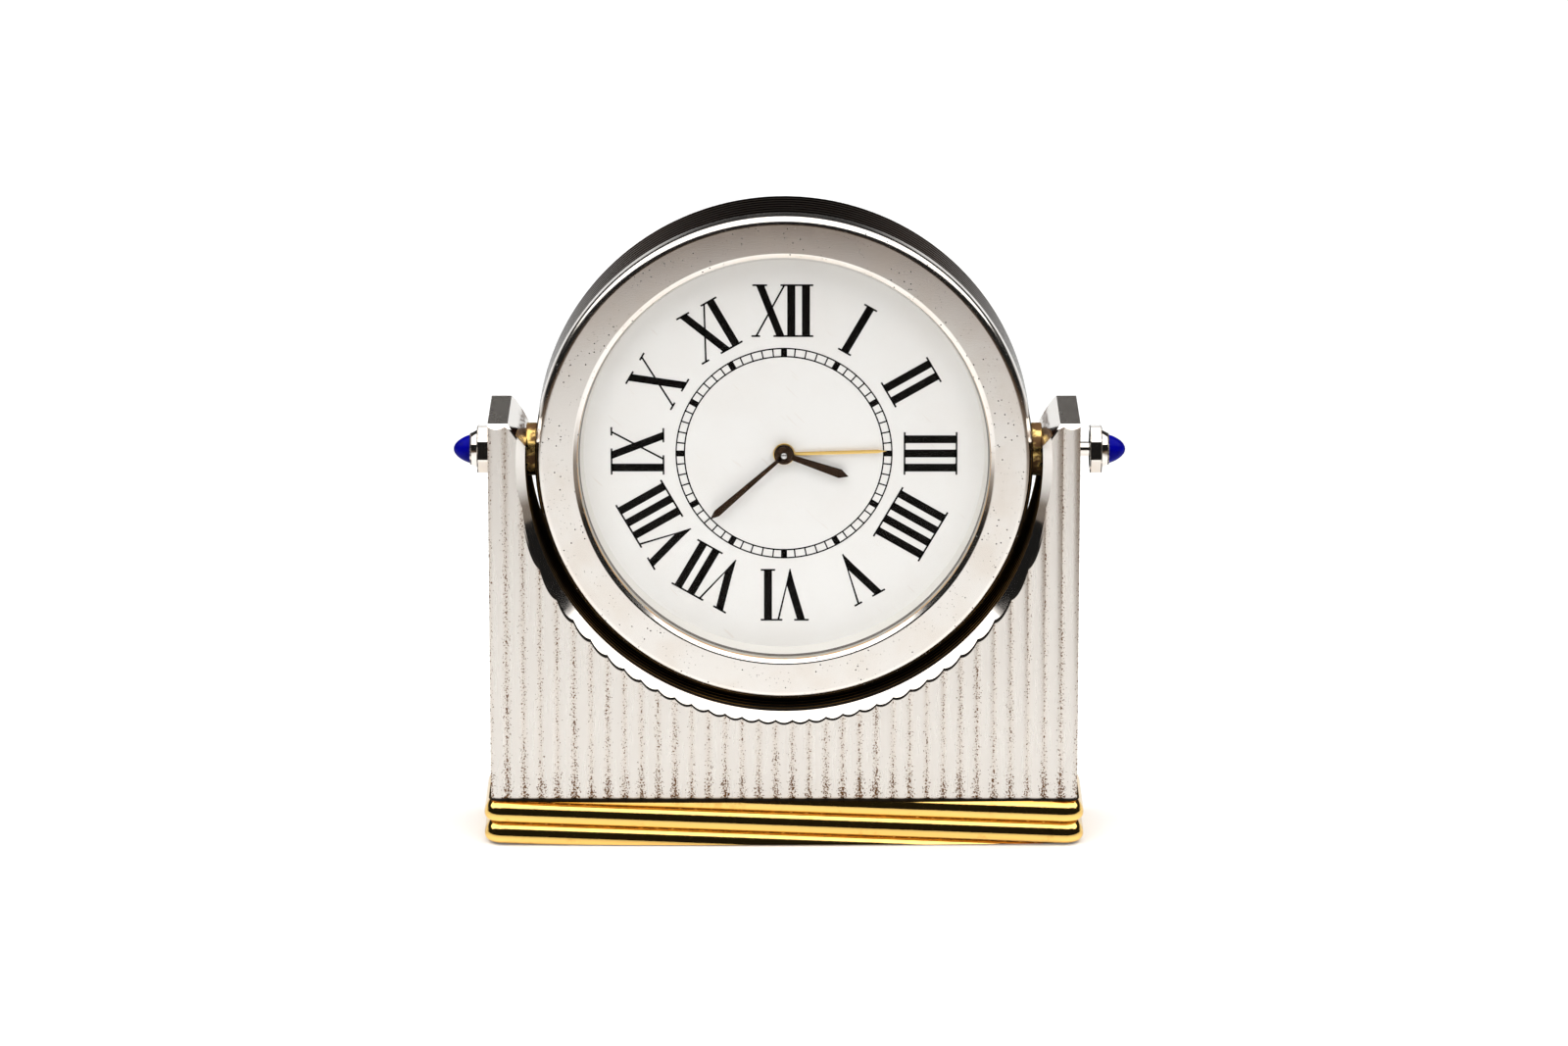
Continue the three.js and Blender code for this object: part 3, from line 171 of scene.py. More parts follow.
class ClockCaseSizes(bpy.types.PropertyGroup):
    """Sizes of the drum, its bezel and its back."""

    rib_count: IntProperty(name="Ribs", description="Ribs along the case band", default=7, min=1)
    rib_depth: length("Rib depth", "Depth of the grooves between the ribs", 0.08)
    rib_groove: length("Rib groove", "Width of the grooves between the ribs", 0.25)
    case_wall: length("Case wall", "Thickness of the case band over its ribs", 2.9)
    bezel_edge: length("Bezel edge", "Rounding between the bezel's face and side", 1.3)
    face_radius: length("Face radius", "Inner radius of the bezel's flat face", 31.75)
    face_round: length("Face round", "Rounding between the bezel's face and its inner bevel", 0.5)
    bevel_depth: length("Bevel depth", "Depth of the bezel's inner bevel", 0.45)
    lip_radius: length("Lip radius", "Radius of the bezel behind its inner bevel", 31.12)
    seat_radius: length("Seat radius", "Radius at the back of the crystal's seat", 30.75)
    bezel_bore: length("Bezel bore", "Radius of the bezel's bore behind the lip", 34.1)
    dial_sight: length("Dial sight", "Radius of the dial inside its ring", 30.25)
    ring_lean: length("Ring lean", "How far the dial ring's wall leans out", 0.5)
    dial_hole: length("Dial hole", "Radius of the dial's middle hole", 1.4)
    cover_edge: length("Cover edge", "Rounding between the back cover's face and side", 0.3)
    sound_hole: length("Sound hole", "Radius of a sound hole", 0.6)
    sound_ring: length("Sound ring", "Radius of the ring of sound holes", 3.5)
    sound_count: IntProperty(name="Sound holes", description="Holes round the middle one", default=6, min=1)
    knob_flutes: IntProperty(name="Flutes", description="Flutes round a setting knob", default=14, min=3)
    flute_depth: length("Flute depth", "Depth of a setting knob's flutes", 0.25)
    hatch_gap: length("Hatch gap", "Between the battery hatch and the back cover", 0.1)
    coin_slot: length("Coin slot", "Width of the battery hatch's slot", 1.2)
    coin_depth: length("Coin slot depth", "Depth of the battery hatch's slot", 0.5)
    coin_reach: ratio("Coin slot reach", "Length of that slot, as a share of the hatch's width", 0.7)
    stem_hole: length("Stem hole", "Radius of the holes for the setting stems", 0.8)
    screw_slot: length("Screw slot", "Width of a cover screw's slot", 0.34)
    screw_depth: length("Screw slot depth", "Depth of a cover screw's slot", 0.2)
    slide_slot: length("Slide slot", "Height of the alarm slide's slot in the cover", 1.4)
    slide_run: length("Slide run", "Length of that slot", 4.8)
    slide_plate: length("Slide plate", "Thickness of the alarm slide's plate", 0.4)
    slide_gap: length("Slide gap", "Between that plate and the cover", 0.08)


class ClockDialSizes(bpy.types.PropertyGroup):
    """Sizes of the printed dial and the hands."""

    print_height: length("Print height", "Thickness of the printed ink", 0.03)
    numeral_foot: length("Numeral foot", "Radius of the numerals' inner ends", 18.05)
    numeral_head: length("Numeral head", "Radius of the numerals' outer ends", 26.15)
    thick_stroke: length("Thick stroke", "Width of a numeral's thick stroke", 1.2)
    thin_stroke: length("Thin stroke", "Width of a numeral's thin stroke", 0.3)
    serif_reach: length("Serif reach", "How far a serif passes its stroke", 0.5)
    track_inner: length("Track inner", "Inner radius of the minute track", 15.02)
    track_outer: length("Track outer", "Outer radius of the minute track", 16.27)
    track_line: length("Track line", "Width of the track's lines", 0.2)
    hour_block: length("Hour block", "Width of the track's hour blocks", 0.9)
    minute_length: length("Minute hand", "Length of the minute hand", 14.9)
    minute_width: length("Minute hand width", "Greatest width of the minute hand", 1.1)
    minute_neck: length("Minute hand neck", "Width of the minute hand at its hub", 0.5)
    hour_length: length("Hour hand", "Length of the hour hand", 10.3)
    hour_width: length("Hour hand width", "Greatest width of the hour hand", 1.4)
    hour_neck: length("Hour hand neck", "Width of the hour hand at its hub", 0.7)
    alarm_length: length("Alarm hand", "Length of the alarm hand", 15.5)
    alarm_width: length("Alarm hand width", "Greatest width of the alarm hand", 0.5)
    alarm_neck: length("Alarm hand neck", "Width of the alarm hand at its hub", 0.5)
    hub_radius: length("Hub radius", "Radius of the minute hand's hub", 1.35)
    hub_step: length("Hub step", "How much each lower hub adds to that radius", 0.15)
    hub_bore: length("Hub bore", "Radius of the hole through a hub", 0.45)
    minute_angle: angle("Minute hand angle", "Clockwise from twelve", 228.4)
    hour_angle: angle("Hour hand angle", "Clockwise from twelve", 109.1)
    alarm_angle: angle("Alarm hand angle", "Clockwise from twelve", 88.3)
    hand_point: length("Hand point", "Length of a hand's tapered end", 1.35)
    pin_radius: length("Pin radius", "Radius of the bright pin in the middle of the hands", 0.5)


class ClockColours(bpy.types.PropertyGroup):
    """Colours of the finishes."""

    silver: colour("Silver", "Clean plating", 0.79, 0.75, 0.705)
    silver_haze: colour("Silver haze", "Plating dulled by air", 0.75, 0.665, 0.58)
    tarnish: colour("Tarnish", "Brown specks in the grooves", 0.15, 0.07, 0.028)
    # Soot is also painted shade: black in the gap round the drum, along the reeds' feet and the cradle's
    # edges, and deep in the gilt's grooves.
    soot_and_shade: colour("Soot", "Black dirt in the joints", 0.012, 0.010, 0.008)
    gold: colour("Gold", "Clean gilding", 1.0, 0.65, 0.19)
    deep_gold: colour("Deep gold", "Gilding in the shade of a groove", 0.6, 0.30, 0.06)
    brass: colour("Brass", "Turned brass", 0.82, 0.58, 0.20)
    stone: colour("Stone", "Blue cabochon", 0.001, 0.001, 0.26)
    stone_deep: colour("Stone depth", "Darker veins of the cabochon", 0.001, 0.001, 0.16)
    enamel: colour("Enamel", "Dial ground", 0.93, 0.92, 0.895)
    # The rib colour is painted shade, far darker than the plating; the slant colour below darkens the ribs'
    # reflections at a slant, also painted shade.
    rib: colour("Rib", "Tarnished ribs round the drum", 0.14, 0.135, 0.13)
    rib_slant_shade: colour("Rib edge", "Ribs seen at a slant", 0.2, 0.18, 0.17)
    seat: colour("Seat", "Seat of the crystal", 0.42, 0.40, 0.35)
    ink: colour("Ink", "Printed numerals", 0.0015, 0.0015, 0.0016)
    bronze: colour("Bronze", "Hour and minute hands", 0.028, 0.014, 0.007)
    hand_gold: colour("Hand gold", "Alarm hand", 0.90, 0.62, 0.20)
    white_plastic: colour("White plastic", "Dial ring and movement ring", 0.82, 0.81, 0.77)
    black_plastic: colour("Black plastic", "Setting knobs and housing", 0.012, 0.012, 0.013)
    steel: colour("Steel", "Screws and stator", 0.62, 0.62, 0.63)
    copper: colour("Copper", "Coil wire", 0.72, 0.32, 0.13)
    board: colour("Board", "Circuit board", 0.02, 0.14, 0.06)
    felt: colour("Felt", "Pad under the base", 0.018, 0.035, 0.024)


class ClockStage(bpy.types.PropertyGroup):
    """Camera, light and floor."""

    distance: length("Distance", "Camera to the point it looks at", 1150)
    aim_height: length("Aim height", "Height of that point above the table", 48.0)
    elevation: angle("Elevation", "How far the camera looks down", 14.8)
    focal_pixels: FloatProperty(
        name="Focal length", description="In pixels of the photograph", default=7742, min=1
    )
    wall_light: ratio("Wall light", "Strength of the dim walls", 0.015)
    back_light: ratio("Back light", "Strength of the back wall", 0.025)
    sweep_light: ratio("Sweep light", "Strength of the white sweep behind the clock", 0.95)
    sweep_top: angle("Sweep top", "Elevation where the white sweep has ended", 10)
    roof_light: ratio("Roof light", "Strength of the soft roof", 2.85)
    roof_front: angle("Roof front", "Elevation of the roof's front edge", 40)
    roof_back: angle("Roof back", "Elevation of the roof's back edge", 60)
    roof_side: angle("Roof side", "Elevation of the roof's ends at left and right", 22)
    roof_reach: ratio("Roof reach", "Half width of the roof overhead, in heights", 3.2)
    roof_taper: ratio("Roof taper", "How fast the roof narrows to the front", 2.15)
    fill_left: ratio("Left fill", "Strength of the left fill", 0.4)
    fill_right: ratio("Right fill", "Strength of the right fill", 0.35)
    fill_side: angle("Fill side", "How far to the side of the camera a fill stands", 30)
    fill_height: angle("Fill height", "Elevation of a fill", 24)
    fill_spread: angle("Fill spread", "Angle across a fill", 30)
    floor_reach: length("Floor reach", "From the clock to the floor's edges", 4000)
    floor_near: length("Floor near", "In front of the clock, where the white floor begins to darken", 190)
    floor_far: length("Floor far", "In front of the clock, where it is darkest", 565)
    floor_white: colour("Floor white", "Floor round the clock", 0.93, 0.93, 0.925)
    floor_side: colour("Floor side", "Floor at the front sides, as the metal mirrors it", 0.24, 0.20, 0.165)
    floor_dark: colour("Floor dark", "Floor far in front, as the metal mirrors it", 0.1, 0.055, 0.025)
    floor_glow: colour("Floor glow", "Light added to the floor as the eye sees it", 0.14, 0.14, 0.14)
    floor_shift: length("Floor shift", "How far the white floor's middle lies to the left", 45)
    side_start: length("Side start", "In front of the clock, where the sides begin to darken", 20)
    side_near: length("Side near", "Beside the clock, where the white floor begins to darken", 125)
    side_far: length("Side far", "Beside the clock, where it is darkest", 230)


# Shader maths


class Term:
    """A node socket that takes part in Python sums by adding Math nodes."""

    def __init__(self, sheet, socket):
        self.sheet = sheet
        self.socket = socket

    def math(self, operation, *values):
        inputs = dict(enumerate(values))
        return self.sheet.node("ShaderNodeMath", {"operation": operation}, inputs)

    def __add__(self, other):
        return self.math("ADD", self, other)

    def __radd__(self, other):
        return self.math("ADD", other, self)

    def __sub__(self, other):
        return self.math("SUBTRACT", self, other)

    def __rsub__(self, other):
        return self.math("SUBTRACT", other, self)

    def __mul__(self, other):
        return self.math("MULTIPLY", self, other)

    def __rmul__(self, other):
        return self.math("MULTIPLY", other, self)

    def __truediv__(self, other):
        return self.math("DIVIDE", self, other)

    def __rtruediv__(self, other):
        return self.math("DIVIDE", other, self)

    def __pow__(self, other):
        return self.math("POWER", self, other)

    def __abs__(self):
        return self.math("ABSOLUTE", self)

    def fraction(self):
        return self.math("FRACT", self)

    def floor(self):
        return self.math("FLOOR", self)

    def most(self, other):
        return self.math("MAXIMUM", self, other)

    def root(self):
        return self.math("SQRT", self)

    def ease(self, start, end):
        """0 at start, 1 at end, smooth between them and level outside."""
        settings = {"interpolation_type": "SMOOTHSTEP"}
        inputs = {"Value": self, "From Min": start, "From Max": end}
        return self.sheet.node("ShaderNodeMapRange", settings, inputs)


class Sheet:
    """The node tree of one material or world."""

    def __init__(self, owner):
        self.owner = owner
        owner.use_nodes = True
        self.tree = owner.node_tree
        self.tree.nodes.clear()

    def node(self, kind, settings=None, inputs=None, output=0):
        node = self.tree.nodes.new(kind)
        for key, setting in (settings or {}).items():
            setattr(node, key, setting)
        for key, value in (inputs or {}).items():
            if isinstance(value, Term):
                self.tree.links.new(value.socket, node.inputs[key])
            else:
                node.inputs[key].default_value = value
        return None if output is None else Term(self, node.outputs[output])

    def point(self):
        """The point on the surface."""
        return self.node("ShaderNodeTexCoord", output="Object")

    def part(self, vector, axis):
        """A vector's X, Y or Z."""
        return self.node("ShaderNodeSeparateXYZ", inputs={0: vector}, output=axis)

    def parts(self, vector):
        """A vector's X, Y and Z."""
        return [self.part(vector, axis) for axis in "XYZ"]

    def vector(self, x, y, z):
        return self.node("ShaderNodeCombineXYZ", inputs={0: x, 1: y, 2: z})

    def attribute(self, name):
        return self.node("ShaderNodeAttribute", {"attribute_name": name}, output="Fac")

    def noise(self, point, grain, detail=3.0, roughness=0.55):
        """Cloudy noise from 0 to 1 whose blotches are about one grain wide."""
        inputs = {"Vector": point, "Scale": 1 / grain, "Detail": detail, "Roughness": roughness}
        return self.node("ShaderNodeTexNoise", inputs=inputs, output="Fac")

    def dots(self, point, grain):
        """Distance from the nearest of many dots scattered over x and y, in grains."""
        settings = {"voronoi_dimensions": "2D"}
        inputs = {"Vector": point, "Scale": 1 / grain}
        return self.node("ShaderNodeTexVoronoi", settings, inputs, "Distance")

    def blend(self, share, first, second):
        """A colour between two others."""
        pair = [value if isinstance(value, Term) else (*value, 1.0) for value in (first, second)]
        settings = {"data_type": "RGBA"}
        return self.node("ShaderNodeMix", settings, {0: share, 6: pair[0], 7: pair[1]}, output=2)

    def bump(self, height, distance, strength=1.0):
        inputs = {"Height": height, "Distance": distance, "Strength": strength}
        return self.node("ShaderNodeBump", inputs=inputs, output="Normal")

    def surface(self, **sockets):
        """A principled surface, with underscores for the blanks in its sockets' names."""
        inputs = {}
        for key, value in sockets.items():
            plain_colour = key.endswith(("Color", "Tint")) and not isinstance(value, Term)
            inputs[key.replace("_", " ")] = (*value, 1.0) if plain_colour else value
        return self.node("ShaderNodeBsdfPrincipled", inputs=inputs)

    def done(self, shader, kind="ShaderNodeOutputMaterial"):
        self.node(kind, inputs={"Surface": shader}, output=None)
        return self.owner


# Finishes

_finishes = {}


def finish(make):
    """The material that a function makes, made once and kept under the function's name."""
    if make.__name__ not in _finishes:
        sheet = Sheet(bpy.data.materials.new(make.__name__))
        _finishes[make.__name__] = make(sheet, bpy.context.scene.clock_colours)
    return _finishes[make.__name__]


def metal(sheet, clean, dull, dirt, dirt_share, roughness, normal=None):
    """Plated metal: clean to dull by a cloud, then dirt where its share is high."""
    point = sheet.point()
    cloud = sheet.noise(point, 6 * MM).ease(0.35, 0.75)
    base = sheet.blend(cloud * 0.5, clean, dull)
    sockets = {
        "Base_Color": sheet.blend(dirt_share, base, dirt),
        "Metallic": 1 - 0.6 * dirt_share,
        "Roughness": roughness + cloud * 0.05 + dirt_share * 0.4,
        "Specular_IOR_Level": 0.2,
    }
    if normal:
        sockets["Normal"] = normal
    return sheet.surface(**sockets)


def pits(sheet, point, spacing, size):
    """Scattered pits, 1 inside a pit: soft dots, some of them left out."""
    near = sheet.dots(point, spacing)
    chosen = sheet.noise(point, spacing * 3, detail=0.0).ease(0.52, 0.6)
    return (1 - near.ease(size * 0.6, size)) * chosen


def painted_edge_lines(stand, x, y, z):
    """Thin black lines of painted shade, 1 in a line, along the edges where the reeds meet the round cut and
    the slopes.
    """
    low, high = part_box("cradle")
    crest = (high.y - low.y) / 2
    rise = z - PIVOT.z
    reach = (x * x + rise * rise).root() / MM
    cut_edge = (cut_radius(stand) + stand.cut_chamfer - crest + abs(y)) / MM
    below_uprights = 1 - (rise / MM).ease(-13.0, -8.0)
    cut_line = (1 - (reach - cut_edge).ease(0.32, 0.42)) * below_uprights
    slant = math.hypot(stand.slope_width, stand.slope_drop) * MM
    across = (slope_ridge(stand) - abs(x)) * stand.slope_drop
    below_slope = ((high.z - z) * stand.slope_width - across) / slant
    slope_line = (1 - below_slope.ease(0.22, 0.32)) * (rise / MM).ease(0.0, 0.5)
    return cut_line.most(slope_line)


def reeded_silver(sheet, colours):
    """Satin reeds with brown specks strung along the grooves, denser at their feet; black along the feet, a
    dark joint widened with painted shade; and painted dark lines along the round cut and the slopes.
    """
    stand = bpy.context.scene.clock_stand
    low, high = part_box("cradle")
    pitch = (high.x - low.x) / stand.reed_count
    crest = (high.y - low.y) / 2
    point = sheet.point()
    x, y, z = sheet.parts(point)
    reed = (x - low.x) / pitch
    from_groove = 0.5 - abs(reed.fraction() - 0.5)
    height = (z - low.z) / MM
    cloud = sheet.noise(point, 3.5 * MM)
    groove = (reed + 0.5).floor()
    soiled = sheet.noise(sheet.vector(groove * 1.7, 0.0, z * 20), 1.0)
    bare = 0.675 + from_groove * 0.5 - 0.11 * (1 - height.ease(0.0, 7.0)) - cloud * 0.12 - soiled * 0.14
    on_reeds = abs(y).ease(crest - 3 * stand.reed_depth, crest - 2 * stand.reed_depth)
    specks = (sheet.noise(point, 0.26 * MM, detail=2.0, roughness=0.6) - bare).ease(0.0, 0.05) * on_reeds
    # Black along the feet is a dark joint widened with painted shade; the edge lines are painted shade.
    black = (1 - height.ease(0.3, 0.65)).most(painted_edge_lines(stand, x, y, z))
    dirt = specks.most(black)
    streak = sheet.noise(sheet.vector(x, y, z * 0.05), 0.6 * MM)
    haze = (1 - from_groove.ease(0.0, 0.3)) * on_reeds * 0.4 + streak * 0.25
    clean = sheet.blend(haze, colours.silver, colours.silver_haze)
    return sheet.done(sheet.surface(
        Base_Color=sheet.blend(dirt, clean, sheet.blend(black, colours.tarnish, colours.soot_and_shade)),
        Metallic=1 - 0.8 * dirt,
        Roughness=0.24 + streak * 0.08 + dirt * 0.4,
        Specular_IOR_Level=0.1,
        Normal=sheet.bump(cloud, 0.01 * MM, 0.3),
    ))


def polished_silver(sheet, colours):
    """Mirror plating with a few brown stains."""
    point = sheet.point()
    stain = sheet.noise(point, 1.6 * MM, detail=5.0, roughness=0.7).ease(0.66, 0.76)
    return sheet.done(metal(sheet, colours.silver, colours.silver_haze, colours.tarnish, stain * 0.8, 0.06))


def worn_edge(sheet, colours):
    """Brown and black wear along the edges of the knobs and their cups."""
    point = sheet.point()
    worn = sheet.noise(point, 0.7 * MM, detail=4.0).ease(0.36, 0.5)
    return sheet.done(metal(sheet, colours.silver_haze, colours.tarnish, colours.soot_and_shade, worn * 0.9, 0.2))


def gap_shade_and_reflection(sheet, colours):
    """Painted shade in the narrow gap round the drum, near black, with painted reflections of its ribs as
    brown rings spaced as the ribs are.
    """
    x, y, z = sheet.parts(sheet.point())
    pitch = span_of("case_band").y / bpy.context.scene.clock_case.rib_count
    rings = abs((y / pitch).fraction() - 0.5).ease(0.34, 0.44)
    # The painted ring reflections are stronger in broad patches along the gap.
    worn = sheet.noise(sheet.vector(x, 0.0, z), 14 * MM).ease(0.35, 0.65)
    share = rings * (0.1 + worn * 0.3)
    return sheet.done(sheet.surface(
        Base_Color=sheet.blend(share, colours.soot_and_shade, colours.deep_gold),
        Roughness=0.7 - share * 0.3,
        Specular_IOR_Level=0.0,
    ))


def crumbs_by_washers(sheet, point):
    """Brown crumbs, 1 in a crumb, thinning out away from the top of a washer."""
    out = abs(sheet.part(point, "X")) - cut_radius(bpy.context.scene.clock_stand)
    above = sheet.part(point, "Z") - PIVOT.z - span_of("pivot_washer_left").z / 2
    from_washer = (out * out + above * above).root() / MM
    crumbs = sheet.noise(point, 0.5 * MM, detail=5.0, roughness=0.7)
    return (crumbs - from_washer * 0.32).ease(0.12, 0.28)


def satin_silver(sheet, colours):
    """Satin tops of the uprights, with sparkling specks and brown crumbs beside the washers."""
    point = sheet.point()
    sparks = sheet.noise(point, 0.22 * MM, detail=2.0)
    dirt = crumbs_by_washers(sheet, point)
    normal = sheet.bump(sparks, 0.05 * MM, 0.6)
    return sheet.done(metal(sheet, colours.silver_haze, colours.seat, colours.tarnish, dirt, 0.24, normal))


def bright_slope(sheet, colours):
    """Polished slopes of the uprights, with brown crumbs beside the washers."""
    dirt = crumbs_by_washers(sheet, sheet.point())
    return sheet.done(metal(sheet, colours.silver, colours.silver, colours.tarnish, dirt, 0.04))


def ribbed_silver(sheet, colours):
    """Ribs of plating in a painted dark shade, with tarnished patches, black lines of grime between them,
    and painted shade on their reflections at a slant.
    """
    low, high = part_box("case_band")
    pitch = (high.y - low.y) / bpy.context.scene.clock_case.rib_count
    point = sheet.point()
    lines = abs(((sheet.part(point, "Y") - low.y) / pitch).fraction() - 0.5).ease(0.34, 0.42)
    patch = sheet.noise(point, 1.5 * MM, detail=5.0, roughness=0.7).ease(0.5, 0.8)
    # The ribs' base colour is painted shade.
    ribs = sheet.blend(patch, colours.rib, colours.tarnish)
    return sheet.done(sheet.surface(
        Base_Color=sheet.blend(lines, ribs, colours.soot_and_shade),
        Metallic=1 - lines * 0.9,
        Roughness=0.07 + patch * 0.06,
        Specular_IOR_Level=0.0,
        # Painted shade: this tint darkens the reflections at a slant.
        Specular_Tint=colours.rib_slant_shade,
    ))


def bezel_silver(sheet, colours):
    """Polished face with fine hairlines and small black pits."""
    x, y, z = sheet.parts(sheet.point())
    flat = sheet.vector(x, z, 0.0)
    on_face = 1 - ((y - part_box("bezel")[0].y) / MM).ease(0.3, 0.6)
    dark = pits(sheet, flat, 1.7 * MM, 0.08).most(pits(sheet, flat, 0.9 * MM, 0.07)) * on_face
    hairs = sheet.noise(sheet.vector(x * 0.15, y, z), 0.12 * MM, detail=2.0)
    normal = sheet.bump(hairs, 0.002 * MM, 0.5)
    return sheet.done(metal(
        sheet, colours.silver, colours.silver_haze, colours.soot_and_shade, dark * 0.9, 0.13, normal
    ))


def crystal_seat(sheet, colours):
    """Grey seat round the crystal: brown cement along its front, a dark line of painted shade along its
    back.
    """
    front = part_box("bezel")[0].y + bpy.context.scene.clock_case.bevel_depth
    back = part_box("crystal")[1].y
    point = sheet.point()
    share = (sheet.part(point, "Y") - front) / (back - front)
    cement = (1 - share.ease(0.1, 0.3)) * sheet.noise(point, 1.5 * MM).ease(0.3, 0.5)
    base = sheet.blend(cement, colours.seat, colours.deep_gold)
    # The bronze along the back is painted shade.
    return sheet.done(sheet.surface(
        Base_Color=sheet.blend(share.ease(0.5, 0.65), base, colours.bronze), Roughness=0.3 + cement * 0.2
    ))


def back_silver(sheet, colours):
    """Plate brushed in circles about the drum's middle."""
    point = sheet.point()
    x = sheet.part(point, "X")
    rise = sheet.part(point, "Z") - PIVOT.z
    reach = (x * x + rise * rise).root()
    rings = sheet.noise(sheet.vector(reach, 0.0, 0.0), 0.12 * MM, detail=4.0)
    cloud = sheet.noise(point, 9 * MM)
    return sheet.done(sheet.surface(
        Base_Color=sheet.blend(cloud * 0.4 + rings * 0.3, colours.silver, colours.silver_haze),
        Metallic=1.0,
        Roughness=0.26 + rings * 0.16,
        Normal=sheet.bump(rings, 0.01 * MM, 0.4),
    ))


def gilt(sheet, colours):
    """Polished gilding with brown stains, and painted shade in the grooves: deep gold, and near black
    deepest in them.
    """
    point = sheet.point()
    groove = sheet.attribute("groove")
    patchy = sheet.noise(point, 2.2 * MM, detail=4.0)
    stain = sheet.noise(point, 5 * MM, detail=6.0, roughness=0.7).ease(0.54, 0.68) * 0.45
    shade = (groove + patchy * 0.25 - 0.12).ease(0.35, 0.85).most(stain)
    # Near black deepest in the grooves: painted shade.
    soot_and_shade = (groove + patchy * 0.2 - 0.1).ease(0.72, 0.95)
    base = sheet.blend(soot_and_shade, sheet.blend(shade, colours.gold, colours.deep_gold), colours.soot_and_shade)
    return sheet.done(sheet.surface(
        Base_Color=base,
        Metallic=1 - 0.6 * soot_and_shade,
        Roughness=0.05 + patchy * 0.05 + soot_and_shade * 0.3,
        Normal=sheet.bump(sheet.noise(point, 1.2 * MM), 0.02 * MM, 0.4),
    ))


def brass(sheet, colours):
    """Turned brass with brown patches."""
    point = sheet.point()
    patch = sheet.noise(point, 1.6 * MM, detail=5.0).ease(0.4, 0.58)
    return sheet.done(metal(sheet, colours.brass, colours.deep_gold, colours.tarnish, patch * 0.95, 0.22))


def hand_gold(sheet, colours):
    """Gilt of the alarm hand."""
    point = sheet.point()
    patch = sheet.noise(point, 1.5 * MM).ease(0.6, 0.8)
    return sheet.done(metal(sheet, colours.hand_gold, colours.gold, colours.deep_gold, patch * 0.4, 0.28))


def steel(sheet, colours):
    """Bright steel with faint brown patches."""
    point = sheet.point()
    patch = sheet.noise(point, 0.8 * MM, detail=5.0).ease(0.62, 0.8)
    return sheet.done(metal(sheet, colours.steel, colours.silver_haze, colours.tarnish, patch * 0.25, 0.25))


def copper(sheet, colours):
    """Fine enamelled wire wound side by side."""
    x = sheet.part(sheet.point(), "X")
    turns = abs((x / (0.12 * MM)).fraction() - 0.5)
    return sheet.done(sheet.surface(
        Base_Color=sheet.blend(turns * 1.6, colours.tarnish, colours.copper),
        Metallic=0.9,
        Roughness=0.25 + turns * 0.2,
        Normal=sheet.bump(turns, 0.05 * MM, 0.8),
    ))


def blue_stone(sheet, colours):
    """Deep blue polished stone, darker in its veins."""
    point = sheet.point()
    vein = sheet.noise(point, 1.8 * MM, detail=4.0).ease(0.4, 0.7)
    return sheet.done(sheet.surface(
        Base_Color=sheet.blend(vein, colours.stone, colours.stone_deep),
        Roughness=0.28 + vein * 0.05,
        Specular_IOR_Level=0.04,
    ))


def crystal_glass(sheet, colours):
    """Clear flat glass: light passes, and the surface mirrors by its angle."""
    point = sheet.point()
    smear = sheet.noise(point, 14 * MM).ease(0.4, 0.8)
    clear = sheet.node("ShaderNodeBsdfTransparent")
    mirror = sheet.surface(Base_Color=colours.silver, Metallic=1.0, Roughness=0.02 + smear * 0.03)
    slant = sheet.node("ShaderNodeLayerWeight", inputs={"Blend": 0.5}, output="Facing")
    share = 0.004 + 0.6 * slant ** 5
    return sheet.done(sheet.node("ShaderNodeMixShader", inputs={0: share, 1: clear, 2: mirror}))


def dial_enamel(sheet, colours):
    """Warm white enamel with faint clouding and hair scratches."""
    point = sheet.point()
    x, y, z = sheet.parts(point)
    cloud = sheet.noise(point, 9 * MM).ease(0.3, 0.8)
    drawn_out = sheet.vector(x * 0.4 + z * 0.4, y, z * 0.06)
    scratch = sheet.noise(drawn_out, 0.2 * MM, detail=1.0).ease(0.74, 0.78)
    base = sheet.blend(cloud * 0.12 + scratch * 0.25, colours.enamel, colours.silver_haze)
    return sheet.done(sheet.surface(Base_Color=base, Roughness=0.38 + cloud * 0.1, Specular_IOR_Level=0.3))


def dial_ink(sheet, colours):
    """Raised black printing ink."""
    point = sheet.point()
    grain = sheet.noise(point, 0.08 * MM)
    base = sheet.blend(grain * 0.1, colours.ink, colours.bronze)
    return sheet.done(sheet.surface(Base_Color=base, Roughness=0.5 + grain * 0.15, Specular_IOR_Level=0.02))


def bronze(sheet, colours):
    """Dark bronzed hands with worn brown patches."""
    point = sheet.point()
    worn = sheet.noise(point, 1.4 * MM, detail=4.0).ease(0.5, 0.8)
    return sheet.done(sheet.surface(
        Base_Color=sheet.blend(worn * 0.5, colours.bronze, colours.tarnish),
        Metallic=0.55,
        Roughness=0.34 + worn * 0.15,
        Specular_IOR_Level=0.1,
    ))


def moulding(sheet, base, shade, roughness):
    """Moulded plastic with a fine grain."""
    point = sheet.point()
    grain = sheet.noise(point, 0.25 * MM, detail=2.0)
    return sheet.done(sheet.surface(
        Base_Color=sheet.blend(grain * 0.3, base, shade),
        Roughness=roughness + grain * 0.1,
        Normal=sheet.bump(grain, 0.01 * MM, 0.3),
    ))


def dial_ring_white(sheet, colours):
    """Satin white ring between the crystal and the dial."""
    return moulding(sheet, colours.white_plastic, colours.silver_haze, 0.4)


def white_plastic(sheet, colours):
    """White moulded plastic."""
    return moulding(sheet, colours.white_plastic, colours.silver_haze, 0.5)


def black_plastic(sheet, colours):
    """Black moulded plastic."""
    return moulding(sheet, colours.black_plastic, colours.ink, 0.38)


def black_rubber(sheet, colours):
    """Matt rubber of the crystal's gasket."""
    return moulding(sheet, colours.black_plastic, colours.ink, 0.75)


